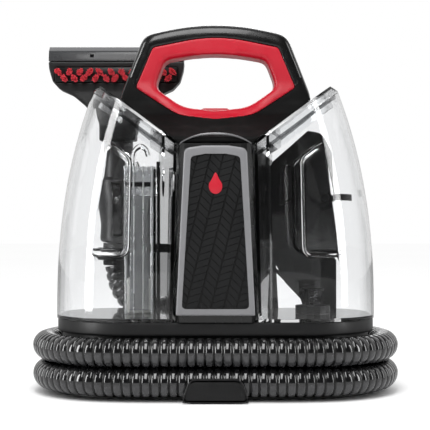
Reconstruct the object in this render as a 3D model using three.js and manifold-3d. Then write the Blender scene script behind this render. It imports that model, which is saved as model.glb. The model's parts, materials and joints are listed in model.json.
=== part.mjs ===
// Spot extractor: a carry-handle carpet spot cleaner with two lift-off tanks, a hose wound round its base
// and a spray wand clipped to its back.
// Millimetres. +X is the machine's right as seen from the front, +Y its back, +Z up.
// The origin is on the floor, under the middle of the base.
import * as THREE from "three";
import { mergeVertices } from "three/addons/utils/BufferGeometryUtils.js";
import Module from "manifold-3d";

const wasm = await Module();
wasm.setup();

// ---------------------------------------------------------------- driving dimensions
const GAP = 0.3; // between pieces that touch
const WALL = 2.6; // moulded casings and tanks
const HOSE_R = 13.5; // over the ribs of the hose
const HOSE_HALF = { x: 164.5, y: 94, r: 85 }; // centreline of the wound hose, a rounded rectangle
const HOSE_LOW_Z = 17.8; // centre of the lower row
const ROW_STEP = 2 * HOSE_R + GAP; // lower row to upper row

const TRAY_Z = 2; // underside of the base tray
const CORE_TOP_Z = 59;
const CORE_INSET = HOSE_R + 2.4; // from the hose's centreline to the core's wall
const CORE = { x: HOSE_HALF.x - CORE_INSET, y: HOSE_HALF.y - CORE_INSET, r: HOSE_HALF.r - CORE_INSET };
const DECK = { x: 153.4, y: 88, r: 78, bottom: 59.3, top: 72, rear: 80 };

const SLOPE = 0.75; // rise per run of the handle housing's underside and of the tank lids, a 3-4-5 slope
const SLOPE_X = 34; // where that slope starts, either side of the middle
const SLOPE_Z = 238;
const OUTWARD = { x: 0.8, z: 0.6 }; // unit vector up the slope

const TANK = {
  bottom: DECK.top + GAP, front: -88, rear: 66, half: 154,
  shrink: 34.5, height: 217, power: 2.4, // the wall's curve in towards the top
};
const LID_THICK = 9;
const COLUMN = { front: -90, split: 20, back: 78, top: 237.6, frontHalf: 37.5, topHalf: 33, backHalf: 54 };
const MOTOR = { x: 0, y: 12 };
const WAND = { x: -103.5, y: 94 };
const VALVE = { x: 95, y: -10 };

// ---------------------------------------------------------------- solids from three.js geometry
// The geometry as a manifold solid, with its faces pointing out whichever way its profile was drawn.
function solid(geometry) {
  const bare = geometry.index ? geometry.toNonIndexed() : geometry.clone();
  const position = new THREE.BufferGeometry().setAttribute("position", bare.getAttribute("position"));
  const merged = mergeVertices(position, 1e-3);
  const triVerts = new Uint32Array(merged.index.array);
  const build = () => {
    const vertProperties = merged.attributes.position.array;
    return new wasm.Manifold(new wasm.Mesh({ numProp: 3, vertProperties, triVerts }));
  };
  const made = build();
  if (made.volume() >= 0) return made;
  for (let i = 0; i < triVerts.length; i += 3) {
    [triVerts[i + 1], triVerts[i + 2]] = [triVerts[i + 2], triVerts[i + 1]];
  }
  return build();
}

function geometryOf(made) {
  const mesh = made.getMesh();
  const positions = new Float32Array(mesh.numVert * 3);
  for (let i = 0; i < mesh.numVert; i++) {
    positions.set(mesh.vertProperties.subarray(i * mesh.numProp, i * mesh.numProp + 3), i * 3);
  }
  const geometry = new THREE.BufferGeometry();
  geometry.setAttribute("position", new THREE.BufferAttribute(positions, 3));
  geometry.setIndex(new THREE.BufferAttribute(mesh.triVerts, 1));
  geometry.computeVertexNormals();
  return geometry;
}

const join = (...solids) => solids.reduce((a, b) => a.add(b));
const cut = (from, ...tools) => tools.reduce((a, b) => a.subtract(b), from);

const middle = (a, b) => (a + b) / 2;

function box(x0, x1, y0, y1, z0, z1) {
  const geometry = new THREE.BoxGeometry(x1 - x0, y1 - y0, z1 - z0);
  return solid(geometry.translate(middle(x0, x1), middle(y0, y1), middle(z0, z1)));
}

const extrude = (shape, depth, curveSegments) =>
  new THREE.ExtrudeGeometry(shape, { depth, bevelEnabled: false, curveSegments });

// An outline drawn in X and Y, raised from z0 to z1.
const prismZ = (shape, z0, z1, curveSegments = 6) =>
  solid(extrude(shape, z1 - z0, curveSegments).translate(0, 0, z0));

// An outline drawn in X and Z, run from y0 to y1.
const prismY = (shape, y0, y1, curveSegments = 4) =>
  solid(extrude(shape, y1 - y0, curveSegments).rotateX(Math.PI / 2).translate(0, y1, 0));

// An outline drawn in Y and Z, run from x0 to x1.
function prismX(shape, x0, x1, curveSegments = 6) {
  const upright = extrude(shape, x1 - x0, curveSegments);
  return solid(upright.rotateY(Math.PI / 2).rotateX(Math.PI / 2).translate(x0, 0, 0));
}

const polygon = (points) => new THREE.Shape(points.map(([x, y]) => new THREE.Vector2(x, y)));

function roundedRectangle(halfX, halfY, radius, cx = 0, cy = 0) {
  const shape = new THREE.Shape();
  shape.absarc(cx + halfX - radius, cy - halfY + radius, radius, -Math.PI / 2, 0);
  shape.absarc(cx + halfX - radius, cy + halfY - radius, radius, 0, Math.PI / 2);
  shape.absarc(cx - halfX + radius, cy + halfY - radius, radius, Math.PI / 2, Math.PI);
  shape.absarc(cx - halfX + radius, cy - halfY + radius, radius, Math.PI, 1.5 * Math.PI);
  return shape;
}

// A corner polygon with each corner rounded by its own radius: [x, y, radius].
function rounded(corners) {
  const shape = new THREE.Shape();
  corners.forEach(([x, y, radius], i) => {
    const corner = new THREE.Vector2(x, y);
    const [before, after] = [corners.at(i - 1), corners[(i + 1) % corners.length]].map(([px, py]) =>
      new THREE.Vector2(px, py).sub(corner).normalize(),
    );
    const reach = radius / Math.tan(before.angleTo(after) / 2);
    const start = corner.clone().addScaledVector(before, reach);
    const end = corner.clone().addScaledVector(after, reach);
    if (i === 0) shape.moveTo(start.x, start.y);
    else shape.lineTo(start.x, start.y);
    if (radius > 0) shape.quadraticCurveTo(x, y, end.x, end.y);
  });
  shape.closePath();
  return shape;
}

function cylinderZ(radius, z0, z1, x = 0, y = 0, sides = 20) {
  const geometry = new THREE.CylinderGeometry(radius, radius, z1 - z0, sides);
  return solid(geometry.rotateX(Math.PI / 2).translate(x, y, middle(z0, z1)));
}

function cylinderY(radius, y0, y1, x, z, sides = 16) {
  const geometry = new THREE.CylinderGeometry(radius, radius, y1 - y0, sides);
  return solid(geometry.translate(x, middle(y0, y1), z));
}

function cylinderX(radius, x0, x1, y, z, sides = 16) {
  const geometry = new THREE.CylinderGeometry(radius, radius, x1 - x0, sides);
  return solid(geometry.rotateZ(Math.PI / 2).translate(middle(x0, x1), y, z));
}

// A profile of [radius, z] turned about a vertical axis.
function turned(profile, x = 0, y = 0, sides = 20) {
  const points = profile.map(([r, z]) => new THREE.Vector2(r, z));
  return solid(new THREE.LatheGeometry(points, sides).rotateX(Math.PI / 2).translate(x, y, 0));
}

const ringZ = (inner, outer, z0, z1, x = 0, y = 0, sides = 20) =>
  turned([[inner, z0], [outer, z0], [outer, z1], [inner, z1], [inner, z0]], x, y, sides);

// A round section swept along a smooth curve through the points.
function tube(points, radius, steps, sides = 8) {
  const section = new THREE.Shape();
  for (let i = 0; i < sides; i++) {
    const angle = (i / sides) * 2 * Math.PI;
    const [x, y] = [radius * Math.cos(angle), radius * Math.sin(angle)];
    if (i === 0) section.moveTo(x, y);
    else section.lineTo(x, y);
  }
  section.closePath();
  const through = points.map((p) => new THREE.Vector3(...p));
  const extrudePath = new THREE.CatmullRomCurve3(through, false, "centripetal");
  return solid(new THREE.ExtrudeGeometry(section, { steps, bevelEnabled: false, extrudePath }));
}

// Rings of [x, y] points, each at its own height, skinned into one closed solid.
function loft(rings) {
  const positions = [];
  const put = (ring, i) => {
    const [x, y] = ring.points[i % ring.points.length];
    positions.push(x, y, ring.z);
  };
  for (let k = 0; k + 1 < rings.length; k++) {
    const [low, high] = [rings[k], rings[k + 1]];
    for (let i = 0; i < low.points.length; i++) {
      for (const [ring, at] of [[low, i], [low, i + 1], [high, i + 1], [low, i], [high, i + 1], [high, i]]) {
        put(ring, at);
      }
    }
  }
  for (const ring of [rings[0], rings.at(-1)]) {
    const flat = ring.points.map(([x, y]) => new THREE.Vector2(x, y));
    for (const face of THREE.ShapeUtils.triangulateShape(flat, [])) {
      const order = ring === rings[0] ? face.slice().reverse() : face;
      for (const i of order) put(ring, i);
    }
  }
  const geometry = new THREE.BufferGeometry();
  geometry.setAttribute("position", new THREE.Float32BufferAttribute(positions, 3));
  return solid(geometry);
}

const mirrorX = (made) => made.mirror([1, 0, 0]);

// ---------------------------------------------------------------- the scene graph
const machine = new THREE.Group();

const paint = (color, roughness, metalness = 0, opacity = 1) =>
  new THREE.MeshStandardMaterial({ color, roughness, metalness, opacity, transparent: opacity < 1 });
const BLACK_GLOSS = paint(0x0b0b0c, 0.18);
const BLACK_SATIN = paint(0x151516, 0.45);
const RED = paint(0xc4122e, 0.35);
const SILVER = paint(0x8f9092, 0.3, 0.6);
const CLEAR = paint(0xe9edf0, 0.05, 0, 0.3);
const SMOKE = paint(0x5a5c5f, 0.25, 0, 0.8);
const RUBBER = paint(0x1c1c1d, 0.85);
const HOSE_GREY = paint(0x2a2b2c, 0.4);
const STEEL = paint(0xb5b7ba, 0.3, 0.9);
const COPPER = paint(0xa8653a, 0.4, 0.8);
const WHITE_PLASTIC = paint(0xd9d9d4, 0.5);

function add(name, made, material) {
  const mesh = new THREE.Mesh(geometryOf(made), material);
  mesh.name = name;
  machine.add(mesh);
}

// ---------------------------------------------------------------- base
const CORNERS = [[1, 1], [-1, 1], [-1, -1], [1, -1]];
const SCREW_AT = CORNERS.map(([sx, sy]) => [sx * 125, sy * 24]);
const FOOT_AT = CORNERS.map(([sx, sy]) => [sx * 112, sy * 50]);
const CORNER_NAMES = ["rear_right", "rear_left", "front_left", "front_right"];
const VENTS = [-40, -29, 29, 40];
const PORT_ANGLE = (139 / 180) * Math.PI; // round the core's rear left corner
// A point at a radius and an angle about the centre of the rear left corner.
const aroundCorner = (radius, angle, z = HOSE_LOW_Z) => [
  radius * Math.cos(angle) - (HOSE_HALF.x - HOSE_HALF.r),
  radius * Math.sin(angle) + (HOSE_HALF.y - HOSE_HALF.r),
  z,
];
const DUCT_R = 11;
const DUCT_UP = { x: -37, y: 53 }; // where the water duct rises through the deck

// A finger of the tray that passes under the hose and turns up in front of it.
function hoseClip(side) {
  const reach = HOSE_HALF.y + HOSE_R + 0.8;
  const [inner, outer] = [side * (HOSE_HALF.y - 6), side * (reach + 3.2)].sort((a, b) => a - b);
  const arm = box(-24, 24, inner, outer, 1, 3.4);
  const face = polygon([[-30, 1], [30, 1], [21, 23], [-21, 23]]);
  const [near, far] = [side * reach, side * (reach + 3.2)].sort((a, b) => a - b);
  return join(arm, prismY(face, near, far));
}

function baseTray() {
  const flange = prismZ(roundedRectangle(HOSE_HALF.x - 6, HOSE_HALF.y - 5, HOSE_HALF.r - 5), TRAY_Z, 3.6, 6);
  const core = prismZ(roundedRectangle(CORE.x, CORE.y, CORE.r), TRAY_Z, CORE_TOP_Z, 6);
  const hollow = prismZ(roundedRectangle(CORE.x - 3, CORE.y - 3, CORE.r - 3), 5, CORE_TOP_Z + 1, 6);
  const shell = cut(join(flange, core), hollow);
  const bosses = SCREW_AT.map(([x, y]) => cylinderZ(8, 3, 9, x, y, 10));
  const footPads = FOOT_AT.map(([x, y]) => cylinderZ(12, 3, 7, x, y, 14));
  const restBoss = box(-32, 32, -20, 20, 0, 3);
  const clips = [hoseClip(-1), hoseClip(1).translate([40, 0, 0])];
  const solidTray = join(shell, ...bosses, ...footPads, restBoss, ...clips);
  const holes = [
    ...SCREW_AT.flatMap(([x, y]) => [cylinderZ(4.6, 1, 4.9, x, y, 8), cylinderZ(2.5, 1, 10, x, y, 8)]),
    ...FOOT_AT.map(([x, y]) => cylinderZ(9.4, 1, 4.3, x, y, 12)),
    ...VENTS.map((y) => box(-22, 22, y - 2, y + 2, 1, 6)),
    cylinderY(DUCT_R + 0.6, -12, 12, 0, 0, 12)
      .rotate([0, 0, (PORT_ANGLE * 180) / Math.PI - 90])
      .translate(aroundCorner(CORE.r, PORT_ANGLE)),
  ];
  return cut(solidTray, ...holes);
}

function deck() {
  const outline = roundedRectangle(DECK.x, DECK.y, DECK.r);
  const inside = roundedRectangle(DECK.x - 3, DECK.y - 3, DECK.r - 3);
  const under = prismZ(inside, DECK.bottom - 1, DECK.top - 3, 6);
  const plate = cut(prismZ(outline, DECK.bottom, DECK.top, 8), under);
  const rearWall = box(-100, 100, DECK.rear - 3, DECK.rear, DECK.bottom, DECK.top - 1);
  const clipped = join(cut(plate, box(-200, 200, DECK.rear, 200, 0, 100)), rearWall);
  const posts = SCREW_AT.map(([x, y]) => cylinderZ(5, 9.3, DECK.top - 1, x, y, 8));
  return cut(
    join(clipped, ...posts),
    ...SCREW_AT.map(([x, y]) => cylinderZ(2.5, 8, 27, x, y, 8)),
    cylinderZ(18, 60, 80, MOTOR.x, MOTOR.y),
    cylinderZ(DUCT_R + 0.6, 60, 80, DUCT_UP.x, DUCT_UP.y, 16),
    cylinderZ(17, 60, 80, VALVE.x, VALVE.y),
  );
}

const foot = (x, y) => cylinderZ(9, 0, 4, x, y, 12);
const baseScrew = (x, y) => turned([[0, 2.4], [4, 2.4], [4, 4.6], [2, 4.6], [2, 24], [0, 25.5]], x, y, 8);

add("base_tray", baseTray(), BLACK_SATIN);
add("deck", deck(), BLACK_SATIN);
FOOT_AT.forEach(([x, y], i) => add(`foot_${CORNER_NAMES[i]}`, foot(x, y), RUBBER));
SCREW_AT.forEach(([x, y], i) => add(`base_screw_${CORNER_NAMES[i]}`, baseScrew(x, y), STEEL));

// ---------------------------------------------------------------- column between the tanks
// Half-width of the column's side wall, which widens to the back and narrows to the top in front.
const columnHalf = (y, z) => {
  const back = (y - COLUMN.front) / (66 - COLUMN.front);
  const up = (z - DECK.top) / (COLUMN.top - DECK.top);
  const front = COLUMN.frontHalf + (COLUMN.topHalf - COLUMN.frontHalf) * up;
  return front + (COLUMN.backHalf - front) * Math.min(1, back);
};

function columnRing(z, y0, y1, inset, chamfer) {
  const [a, b] = [y0 + inset.front, y1 - inset.back];
  const half = (y) => columnHalf(y, z) - inset.side;
  const right = [
    [half(a) - chamfer.front, a],
    [half(a), a + chamfer.front],
    [half(b), b - chamfer.back],
    [half(b) - chamfer.back, b],
  ];
  const left = right.map(([x, y]) => [-x, y]).reverse();
  return { z, points: [...right, ...left] };
}

function columnPart(y0, y1, inset, chamfer, z0, z1) {
  return loft([z0, z1].map((z) => columnRing(z, y0, y1, inset, chamfer)));
}

const FLUSH = { front: 0, back: 0, side: 0 };
const SHARP = 0.01; // a corner left without a chamfer

// Everything within the column's outer faces.
const columnSpace = () =>
  columnPart(COLUMN.front, COLUMN.back, FLUSH, { front: SHARP, back: SHARP }, DECK.top, 250);

// Windows in the column's left wall, where the air duct and the water duct reach the recovery tank.
const AIR_PORT = { y: MOTOR.y, z: 203, r: 14 };
const WATER_PORT = { y: DUCT_UP.y, z: 212, r: 9 };
const portCut = (port, extra) => cylinderX(port.r + extra, -70, -30, port.y, port.z, 16);

function columnFront() {
  const chamfer = { front: 4, back: SHARP };
  const outer = columnPart(COLUMN.front, COLUMN.split - GAP / 2, FLUSH, chamfer, DECK.top + GAP, COLUMN.top);
  const walls = { front: WALL, back: 0, side: WALL };
  const inner = columnPart(COLUMN.front, COLUMN.split + 5, walls, chamfer, 60, 250);
  return cut(outer, inner, portCut(AIR_PORT, 3.4));
}

const VENT_ROWS = 6;
// A fin behind the recovery tank, the counterpart of the cord bracket on the other side.
const FIN = { x0: -61, x1: -48, y0: 69, y1: 73, top: 226 };
function columnRear() {
  const chamfer = { front: SHARP, back: 10 };
  const outer = columnPart(COLUMN.split + GAP / 2, COLUMN.back, FLUSH, chamfer, DECK.top + GAP, COLUMN.top);
  const walls = { front: 0, back: WALL, side: WALL };
  const inner = columnPart(COLUMN.split - 5, COLUMN.back, walls, { front: SHARP, back: 9 }, 60, 250);
  const vents = Array.from({ length: VENT_ROWS }, (_, i) => box(-26, 26, 70, 90, 140 + 8 * i, 143 + 8 * i));
  const glandHole = cylinderY(6.3, 70, 90, GLAND.x, GLAND.z, 12);
  const hook = join(box(-34, -26, 76, 100, 186.5, 193.5), box(-50, -26, 96, 102, 186.5, 193.5));
  const fin = box(FIN.x0, FIN.x1, FIN.y0, FIN.y1, DECK.top + GAP, FIN.top);
  const casing = join(cut(outer, inner), hook, fin);
  return cut(casing, ...vents, glandHole, portCut(AIR_PORT, 3.4), portCut(WATER_PORT, 5.5));
}

const GLAND = { x: 20, z: 92 };
const cordGland = () =>
  join(
    cylinderY(6, COLUMN.back - WALL - 3, COLUMN.back + 1, GLAND.x, GLAND.z, 12),
    cylinderY(8, COLUMN.back + GAP, COLUMN.back + 3, GLAND.x, GLAND.z, 16),
    solid(new THREE.CylinderGeometry(4, 6, 22, 12).translate(GLAND.x, COLUMN.back + 13, GLAND.z)),
    cylinderY(8, COLUMN.back - WALL - 3, COLUMN.back - WALL - GAP, GLAND.x, GLAND.z, 16),
  );

// The cord bracket stands behind the right-hand tank: a tall leg and a broad head joined by a curve.
const BRACKET = { y0: 69, y1: 77, pivotX: 114, pivotZ: 190 };
function cordBracket() {
  const outline = new THREE.Shape();
  outline.moveTo(COLUMN.backHalf + GAP, 222);
  outline.lineTo(102, 256);
  outline.quadraticCurveTo(122, 240, 124, 214);
  outline.lineTo(126, 130);
  outline.lineTo(126, DECK.top + GAP);
  outline.lineTo(92, DECK.top + GAP);
  outline.lineTo(88, 84);
  outline.lineTo(72, 101);
  outline.quadraticCurveTo(60, 128, COLUMN.backHalf + GAP, 156);
  outline.closePath();
  const pivotBore = cylinderY(4.4, 60, 90, BRACKET.pivotX, BRACKET.pivotZ, 16);
  return cut(prismY(outline, BRACKET.y0, BRACKET.y1), pivotBore);
}

const cordHook = () =>
  join(
    cylinderY(4, BRACKET.y0 - 1, 103, BRACKET.pivotX, BRACKET.pivotZ, 16),
    box(BRACKET.pivotX - 4, 150, 97, 103, BRACKET.pivotZ - 3.5, BRACKET.pivotZ + 3.5),
    cylinderY(7, BRACKET.y1 + GAP, BRACKET.y1 + 3, BRACKET.pivotX, BRACKET.pivotZ, 16),
  );

add("column_front_cover", columnFront(), BLACK_GLOSS);
add("column_rear_cover", columnRear(), BLACK_SATIN);
add("cord_gland", cordGland(), RUBBER);
add("cord_bracket", cordBracket(), BLACK_SATIN);
add("cord_hook", cordHook(), BLACK_SATIN);

// ---------------------------------------------------------------- front panel
const archedPanel = (bottomZ, bottomHalf, shoulderZ, topHalf, apexZ, bottomRadius, topRadius) =>
  rounded([
    [-bottomHalf, bottomZ, bottomRadius],
    [bottomHalf, bottomZ, bottomRadius],
    [topHalf, shoulderZ, topRadius],
    [topHalf * 0.4, apexZ, 4],
    [-topHalf * 0.4, apexZ, 4],
    [-topHalf, shoulderZ, topRadius],
  ]);
const BEZEL_Y = COLUMN.front - 3.5;
const bezel = () =>
  cut(
    prismY(archedPanel(78.7, 36.6, 233, 28.9, 235.5, 1.5, 7), BEZEL_Y, COLUMN.front - GAP),
    prismY(archedPanel(83.5, 32.6, 226.5, 24, 229.2, 4, 4), BEZEL_Y - 1, COLUMN.front),
  );
const panelInsert = () =>
  prismY(archedPanel(83.9, 32.2, 226.1, 23.6, 228.8, 4, 4), COLUMN.front - 1.8, COLUMN.front - GAP);

add("panel_bezel", bezel(), SILVER);
add("panel_insert", panelInsert(), BLACK_SATIN);

// ---------------------------------------------------------------- carry handle
// Outlines in the front view. The grip ring lines the opening; the two housing halves close round it.
const HOUSING_OUTLINE = [
  [0, 361.4, 200], [70, 347, 14], [93.5, 286, 4], [91, SLOPE_Z + SLOPE * (91 - SLOPE_X), 1.5],
  [SLOPE_X, SLOPE_Z, 1], [-SLOPE_X, SLOPE_Z, 1],
  [-91, SLOPE_Z + SLOPE * (91 - SLOPE_X), 1.5], [-93.5, 286, 4], [-70, 347, 14],
];
const RING_OUTLINE = [
  [0, 346.4, 150], [61, 334, 5], [77.6, 294.8, 3], [36, 267, 40], [0, 262.5, 60],
  [-36, 267, 40], [-77.6, 294.8, 3], [-61, 334, 5],
];
const OPENING_OUTLINE = [
  [0, 329.4, 150], [49, 321.5, 6], [59, 295, 7], [32, 276, 40], [0, 271, 60],
  [-32, 276, 40], [-59, 295, 7], [-49, 321.5, 6],
];
// Side view: narrow where the hand holds it, wide where it meets the column.
const SIDE_OUTLINE = [
  [-12, 361], [-19, 352], [-20, 300], [-24, 280], [-34, 268], [-56, 256], [-86, 243], [-86, 237],
  [76, 237], [76, 243], [52, 256], [33, 268], [24, 280], [20, 300], [19, 352], [12, 361],
];

// The outline moved in by a distance, corner by corner.
function inset(corners, distance) {
  const area = corners.reduce((sum, [x, y], i) => {
    const [nx, ny] = corners[(i + 1) % corners.length];
    return sum + x * ny - nx * y;
  }, 0);
  const turn = Math.sign(area) * distance;
  const normal = ([ax, ay], [bx, by]) => new THREE.Vector2(ay - by, bx - ax).normalize();
  return corners.map((corner, i) => {
    const [before, after] = [corners.at(i - 1), corners[(i + 1) % corners.length]];
    const [n1, n2] = [normal(before, corner), normal(corner, after)];
    const bisector = n1.clone().add(n2).normalize();
    const reach = turn / Math.max(0.3, bisector.dot(n1));
    return [corner[0] + bisector.x * reach, corner[1] + bisector.y * reach, ...corner.slice(2)];
  });
}

const BUTTON = { halfX: 16, halfY: 8, top: 276, seat: 262 };
const buttonHole = (extra, z0, z1) =>
  prismZ(roundedRectangle(BUTTON.halfX + extra, BUTTON.halfY + extra, 7.5 + extra), z0, z1, 4);

function housing() {
  const outline = prismY(rounded(HOUSING_OUTLINE), -100, 100, 3);
  const ringSpace = prismY(rounded(inset(RING_OUTLINE, -GAP)), -110, 110, 4);
  const outer = cut(outline.intersect(prismX(polygon(SIDE_OUTLINE), -110, 110)), ringSpace);
  const innerOutline = prismY(rounded(inset(HOUSING_OUTLINE, WALL)), -100, 100, 2);
  const innerRing = prismY(rounded(inset(RING_OUTLINE, -WALL - GAP)), -110, 110, 2);
  const sides = prismX(polygon(inset(SIDE_OUTLINE, WALL)), -110, 110);
  const inner = cut(innerOutline.intersect(sides), innerRing);
  return cut(outer, inner, buttonHole(GAP + 0.4, 230, 270));
}
const wholeHousing = housing();
const housingFront = () => wholeHousing.intersect(box(-120, 120, -120, -GAP / 2, 200, 400));
const housingRear = () => wholeHousing.intersect(box(-120, 120, GAP / 2, 120, 200, 400));

const gripRing = () =>
  cut(
    prismY(rounded(RING_OUTLINE), -100, 100, 4).intersect(prismX(polygon(SIDE_OUTLINE), -110, 110)),
    prismY(rounded(OPENING_OUTLINE), -110, 110, 4),
    buttonHole(GAP + 0.2, 250, 280),
  );

const SWITCH = { bottom: 225.3, top: 248 };
const powerButton = () =>
  join(
    buttonHole(0, BUTTON.seat, BUTTON.top - 1.5),
    prismZ(roundedRectangle(13, 5.5, 5), 270, BUTTON.top, 4),
    box(-3.6, 3.6, -3.6, 3.6, 252.3, 265),
  );
const powerSwitch = () =>
  join(
    box(-12, 12, -7, 7, SWITCH.bottom, SWITCH.top - 4),
    box(-3.5, 3.5, -3.5, 3.5, SWITCH.top - 5, SWITCH.top),
  );
function switchPlate() {
  const within = { front: 0, back: 0, side: WALL + 1.5 };
  const plate = columnPart(-20, COLUMN.split - 1, within, { front: SHARP, back: SHARP }, 222.5, 225);
  return cut(plate, box(-10, 10, -6, 6, 220, 230));
}

function spring(x, y, z0, z1, radius, wire, turns) {
  const perTurn = 7;
  const points = Array.from({ length: turns * perTurn + 1 }, (_, i) => {
    const angle = (i / perTurn) * 2 * Math.PI;
    const z = z0 + wire + ((z1 - z0 - 2 * wire) * i) / (turns * perTurn);
    return [x + radius * Math.cos(angle), y + radius * Math.sin(angle), z];
  });
  return tube(points, wire, turns * perTurn, 4);
}

add("handle_front_half", housingFront(), BLACK_GLOSS);
add("handle_rear_half", housingRear(), BLACK_GLOSS);
add("grip_ring", gripRing(), RED);
add("power_button", powerButton(), RED);
add("button_spring", spring(0, 0, SWITCH.top - 4 + GAP, BUTTON.seat - GAP, 6.6, 0.6, 5), STEEL);
add("power_switch", powerSwitch(), BLACK_SATIN);
add("switch_plate", switchPlate(), WHITE_PLASTIC);

// ---------------------------------------------------------------- vacuum motor, fan and air duct
const [MX, MY] = [MOTOR.x, MOTOR.y];
const motorMount = () => ringZ(20, 36, DECK.top + GAP, 83.7, MX, MY);
const motorCan = () =>
  turned(
    [
      [3.5, 84], [34, 84], [34, 129.6], [31.5, 129.6], [31.5, 86.5],
      [7, 86.5], [7, 91], [3.5, 91], [3.5, 84],
    ],
    MX, MY, 24,
  );
const motorStator = () => ringZ(19, 31.1, 95, 121, MX, MY, 24);
const ARMATURE_PROFILE = [
  [0, 80], [3, 80], [3, 97], [18, 97], [18, 119], [9, 119], [9, 127], [3, 127], [3, 152], [0, 152],
];
const motorArmature = () => turned(ARMATURE_PROFILE, MX, MY, 16);
const fanHousing = () =>
  turned(
    [
      [8, 130], [42, 130], [42, 160], [15, 160], [15, 157.5],
      [39.5, 157.5], [39.5, 132.5], [8, 132.5], [8, 130],
    ],
    MX, MY, 24,
  );
const BLADES = 8;
function fanImpeller() {
  const hub = join(cylinderZ(37, 137, 139, MX, MY, 24), cylinderZ(8, 136, 151, MX, MY, 16));
  const blade = box(6, 36, -0.8, 0.8, 138.5, 150);
  const blades = Array.from({ length: BLADES }, (_, i) =>
    blade.rotate([0, 0, (360 / BLADES) * i]).translate([MX, MY, 0]),
  );
  return cut(join(hub, ...blades), cylinderZ(3.4, 130, 160, MX, MY, 16));
}
function airDuct() {
  const { z } = AIR_PORT;
  const bendRoute = [[MX, MY, 168], [MX, MY, z - 27], [-6, MY, z - 11], [-20, MY, z - 1], [-36, MY, z]];
  const pipe = tube([[MX, MY, 160.3], ...bendRoute, [-54, MY, z]], 16.4, 9, 10);
  const bore = tube([[MX, MY, 158], ...bendRoute, [-57, MY, z]], 14, 9, 10);
  return cut(pipe, bore).intersect(columnSpace());
}

add("motor_mount", motorMount(), RUBBER);
add("motor_can", motorCan(), STEEL);
add("motor_stator", motorStator(), COPPER);
add("motor_armature", motorArmature(), COPPER);
add("fan_housing", fanHousing(), WHITE_PLASTIC);
add("fan_impeller", fanImpeller(), STEEL);
add("air_duct", airDuct(), WHITE_PLASTIC);

// ---------------------------------------------------------------- water: pump, valve seat and tubes
const PUMP = { x0: 45, x1: 101, y: -34, z: 24 };
function pumpBody() {
  const barrel = cylinderX(15, PUMP.x0, PUMP.x1, PUMP.y, PUMP.z, 16);
  const foot = box(PUMP.x0 + 8, PUMP.x1 - 8, PUMP.y - 12, PUMP.y + 12, 5.3, 14);
  const inlet = cylinderZ(3.6, 36, 42, VALVE.x, PUMP.y, 10);
  const outlet = cylinderX(3.6, PUMP.x0 - 5, PUMP.x0 + 2, PUMP.y, PUMP.z, 10);
  const bore = cylinderX(6.4, PUMP.x0 + 8, PUMP.x1 + 1, PUMP.y, PUMP.z, 12);
  return cut(join(barrel, foot, inlet, outlet), bore);
}
const pumpPiston = () =>
  join(cylinderX(5.9, 60, 88, PUMP.y, PUMP.z, 12), cylinderX(2.5, 88, 97, PUMP.y, PUMP.z, 10));
const valveSeat = () =>
  turned(
    [
      [0, 58], [3.4, 58], [3.4, 63], [21, 65.9], [21, 68.7], [16.4, 68.7],
      [16.4, 71.8], [13.5, 71.8], [13.5, 69.5], [2, 69.5], [2, 76.5], [0, 77],
    ],
    VALVE.x, VALVE.y, 16,
  );
const FEED_ROUTE = [[0, 57.6], [0, 55.5], [-7, 50.5], [-17, 49], [-24, 44.8], [-24, 42.4]];
const feedTube = () => tube(FEED_ROUTE.map(([y, z]) => [VALVE.x, VALVE.y + y, z]), 3, 9, 6);
const deliveryTube = () =>
  tube(
    [
      [PUMP.x0 - 5.5, PUMP.y, 24], [20, PUMP.y, 23], [-30, -20, 14], [-80, -5, 12],
      [-112, 2, 12], [-134, 10, 13], [-138, 22, 15], [-135, 33, 16],
    ],
    3, 18, 6,
  );
function waterDuct() {
  const route = [
    aroundCorner(CORE.r - 4.5, PORT_ANGLE), aroundCorner(CORE.r - 18, PORT_ANGLE),
    [-96, 38, HOSE_LOW_Z], [-74, 44, HOSE_LOW_Z], [-56, 50, 20],
    [-41, 52, 33], [DUCT_UP.x, DUCT_UP.y, 56], [DUCT_UP.x, DUCT_UP.y, 120], [DUCT_UP.x, DUCT_UP.y, 186],
    [-39, DUCT_UP.y, 202], [-47, DUCT_UP.y, 211], [-56, DUCT_UP.y, 212],
  ];
  return tube(route, DUCT_R - 0.4, 22, 8).intersect(join(columnSpace(), box(-160, 160, -90, 90, 0, 73)));
}

add("pump_body", pumpBody(), BLACK_SATIN);
add("pump_piston", pumpPiston(), STEEL);
add("valve_seat", valveSeat(), WHITE_PLASTIC);
add("feed_tube", feedTube(), CLEAR);
add("delivery_tube", deliveryTube(), CLEAR);
add("water_duct", waterDuct(), BLACK_SATIN);

// ---------------------------------------------------------------- tanks
// How far out the tank's outer wall stands at a height: nearly upright low down, curving in to the top.
const tankHalf = (z) => TANK.half - TANK.shrink * Math.max(0, (z - DECK.top) / TANK.height) ** TANK.power;
const TANK_LEVELS = [TANK.bottom, 110, 150, 185, 215, 242, 266, 286, 306];
const CORNER_STEPS = 6;

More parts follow.
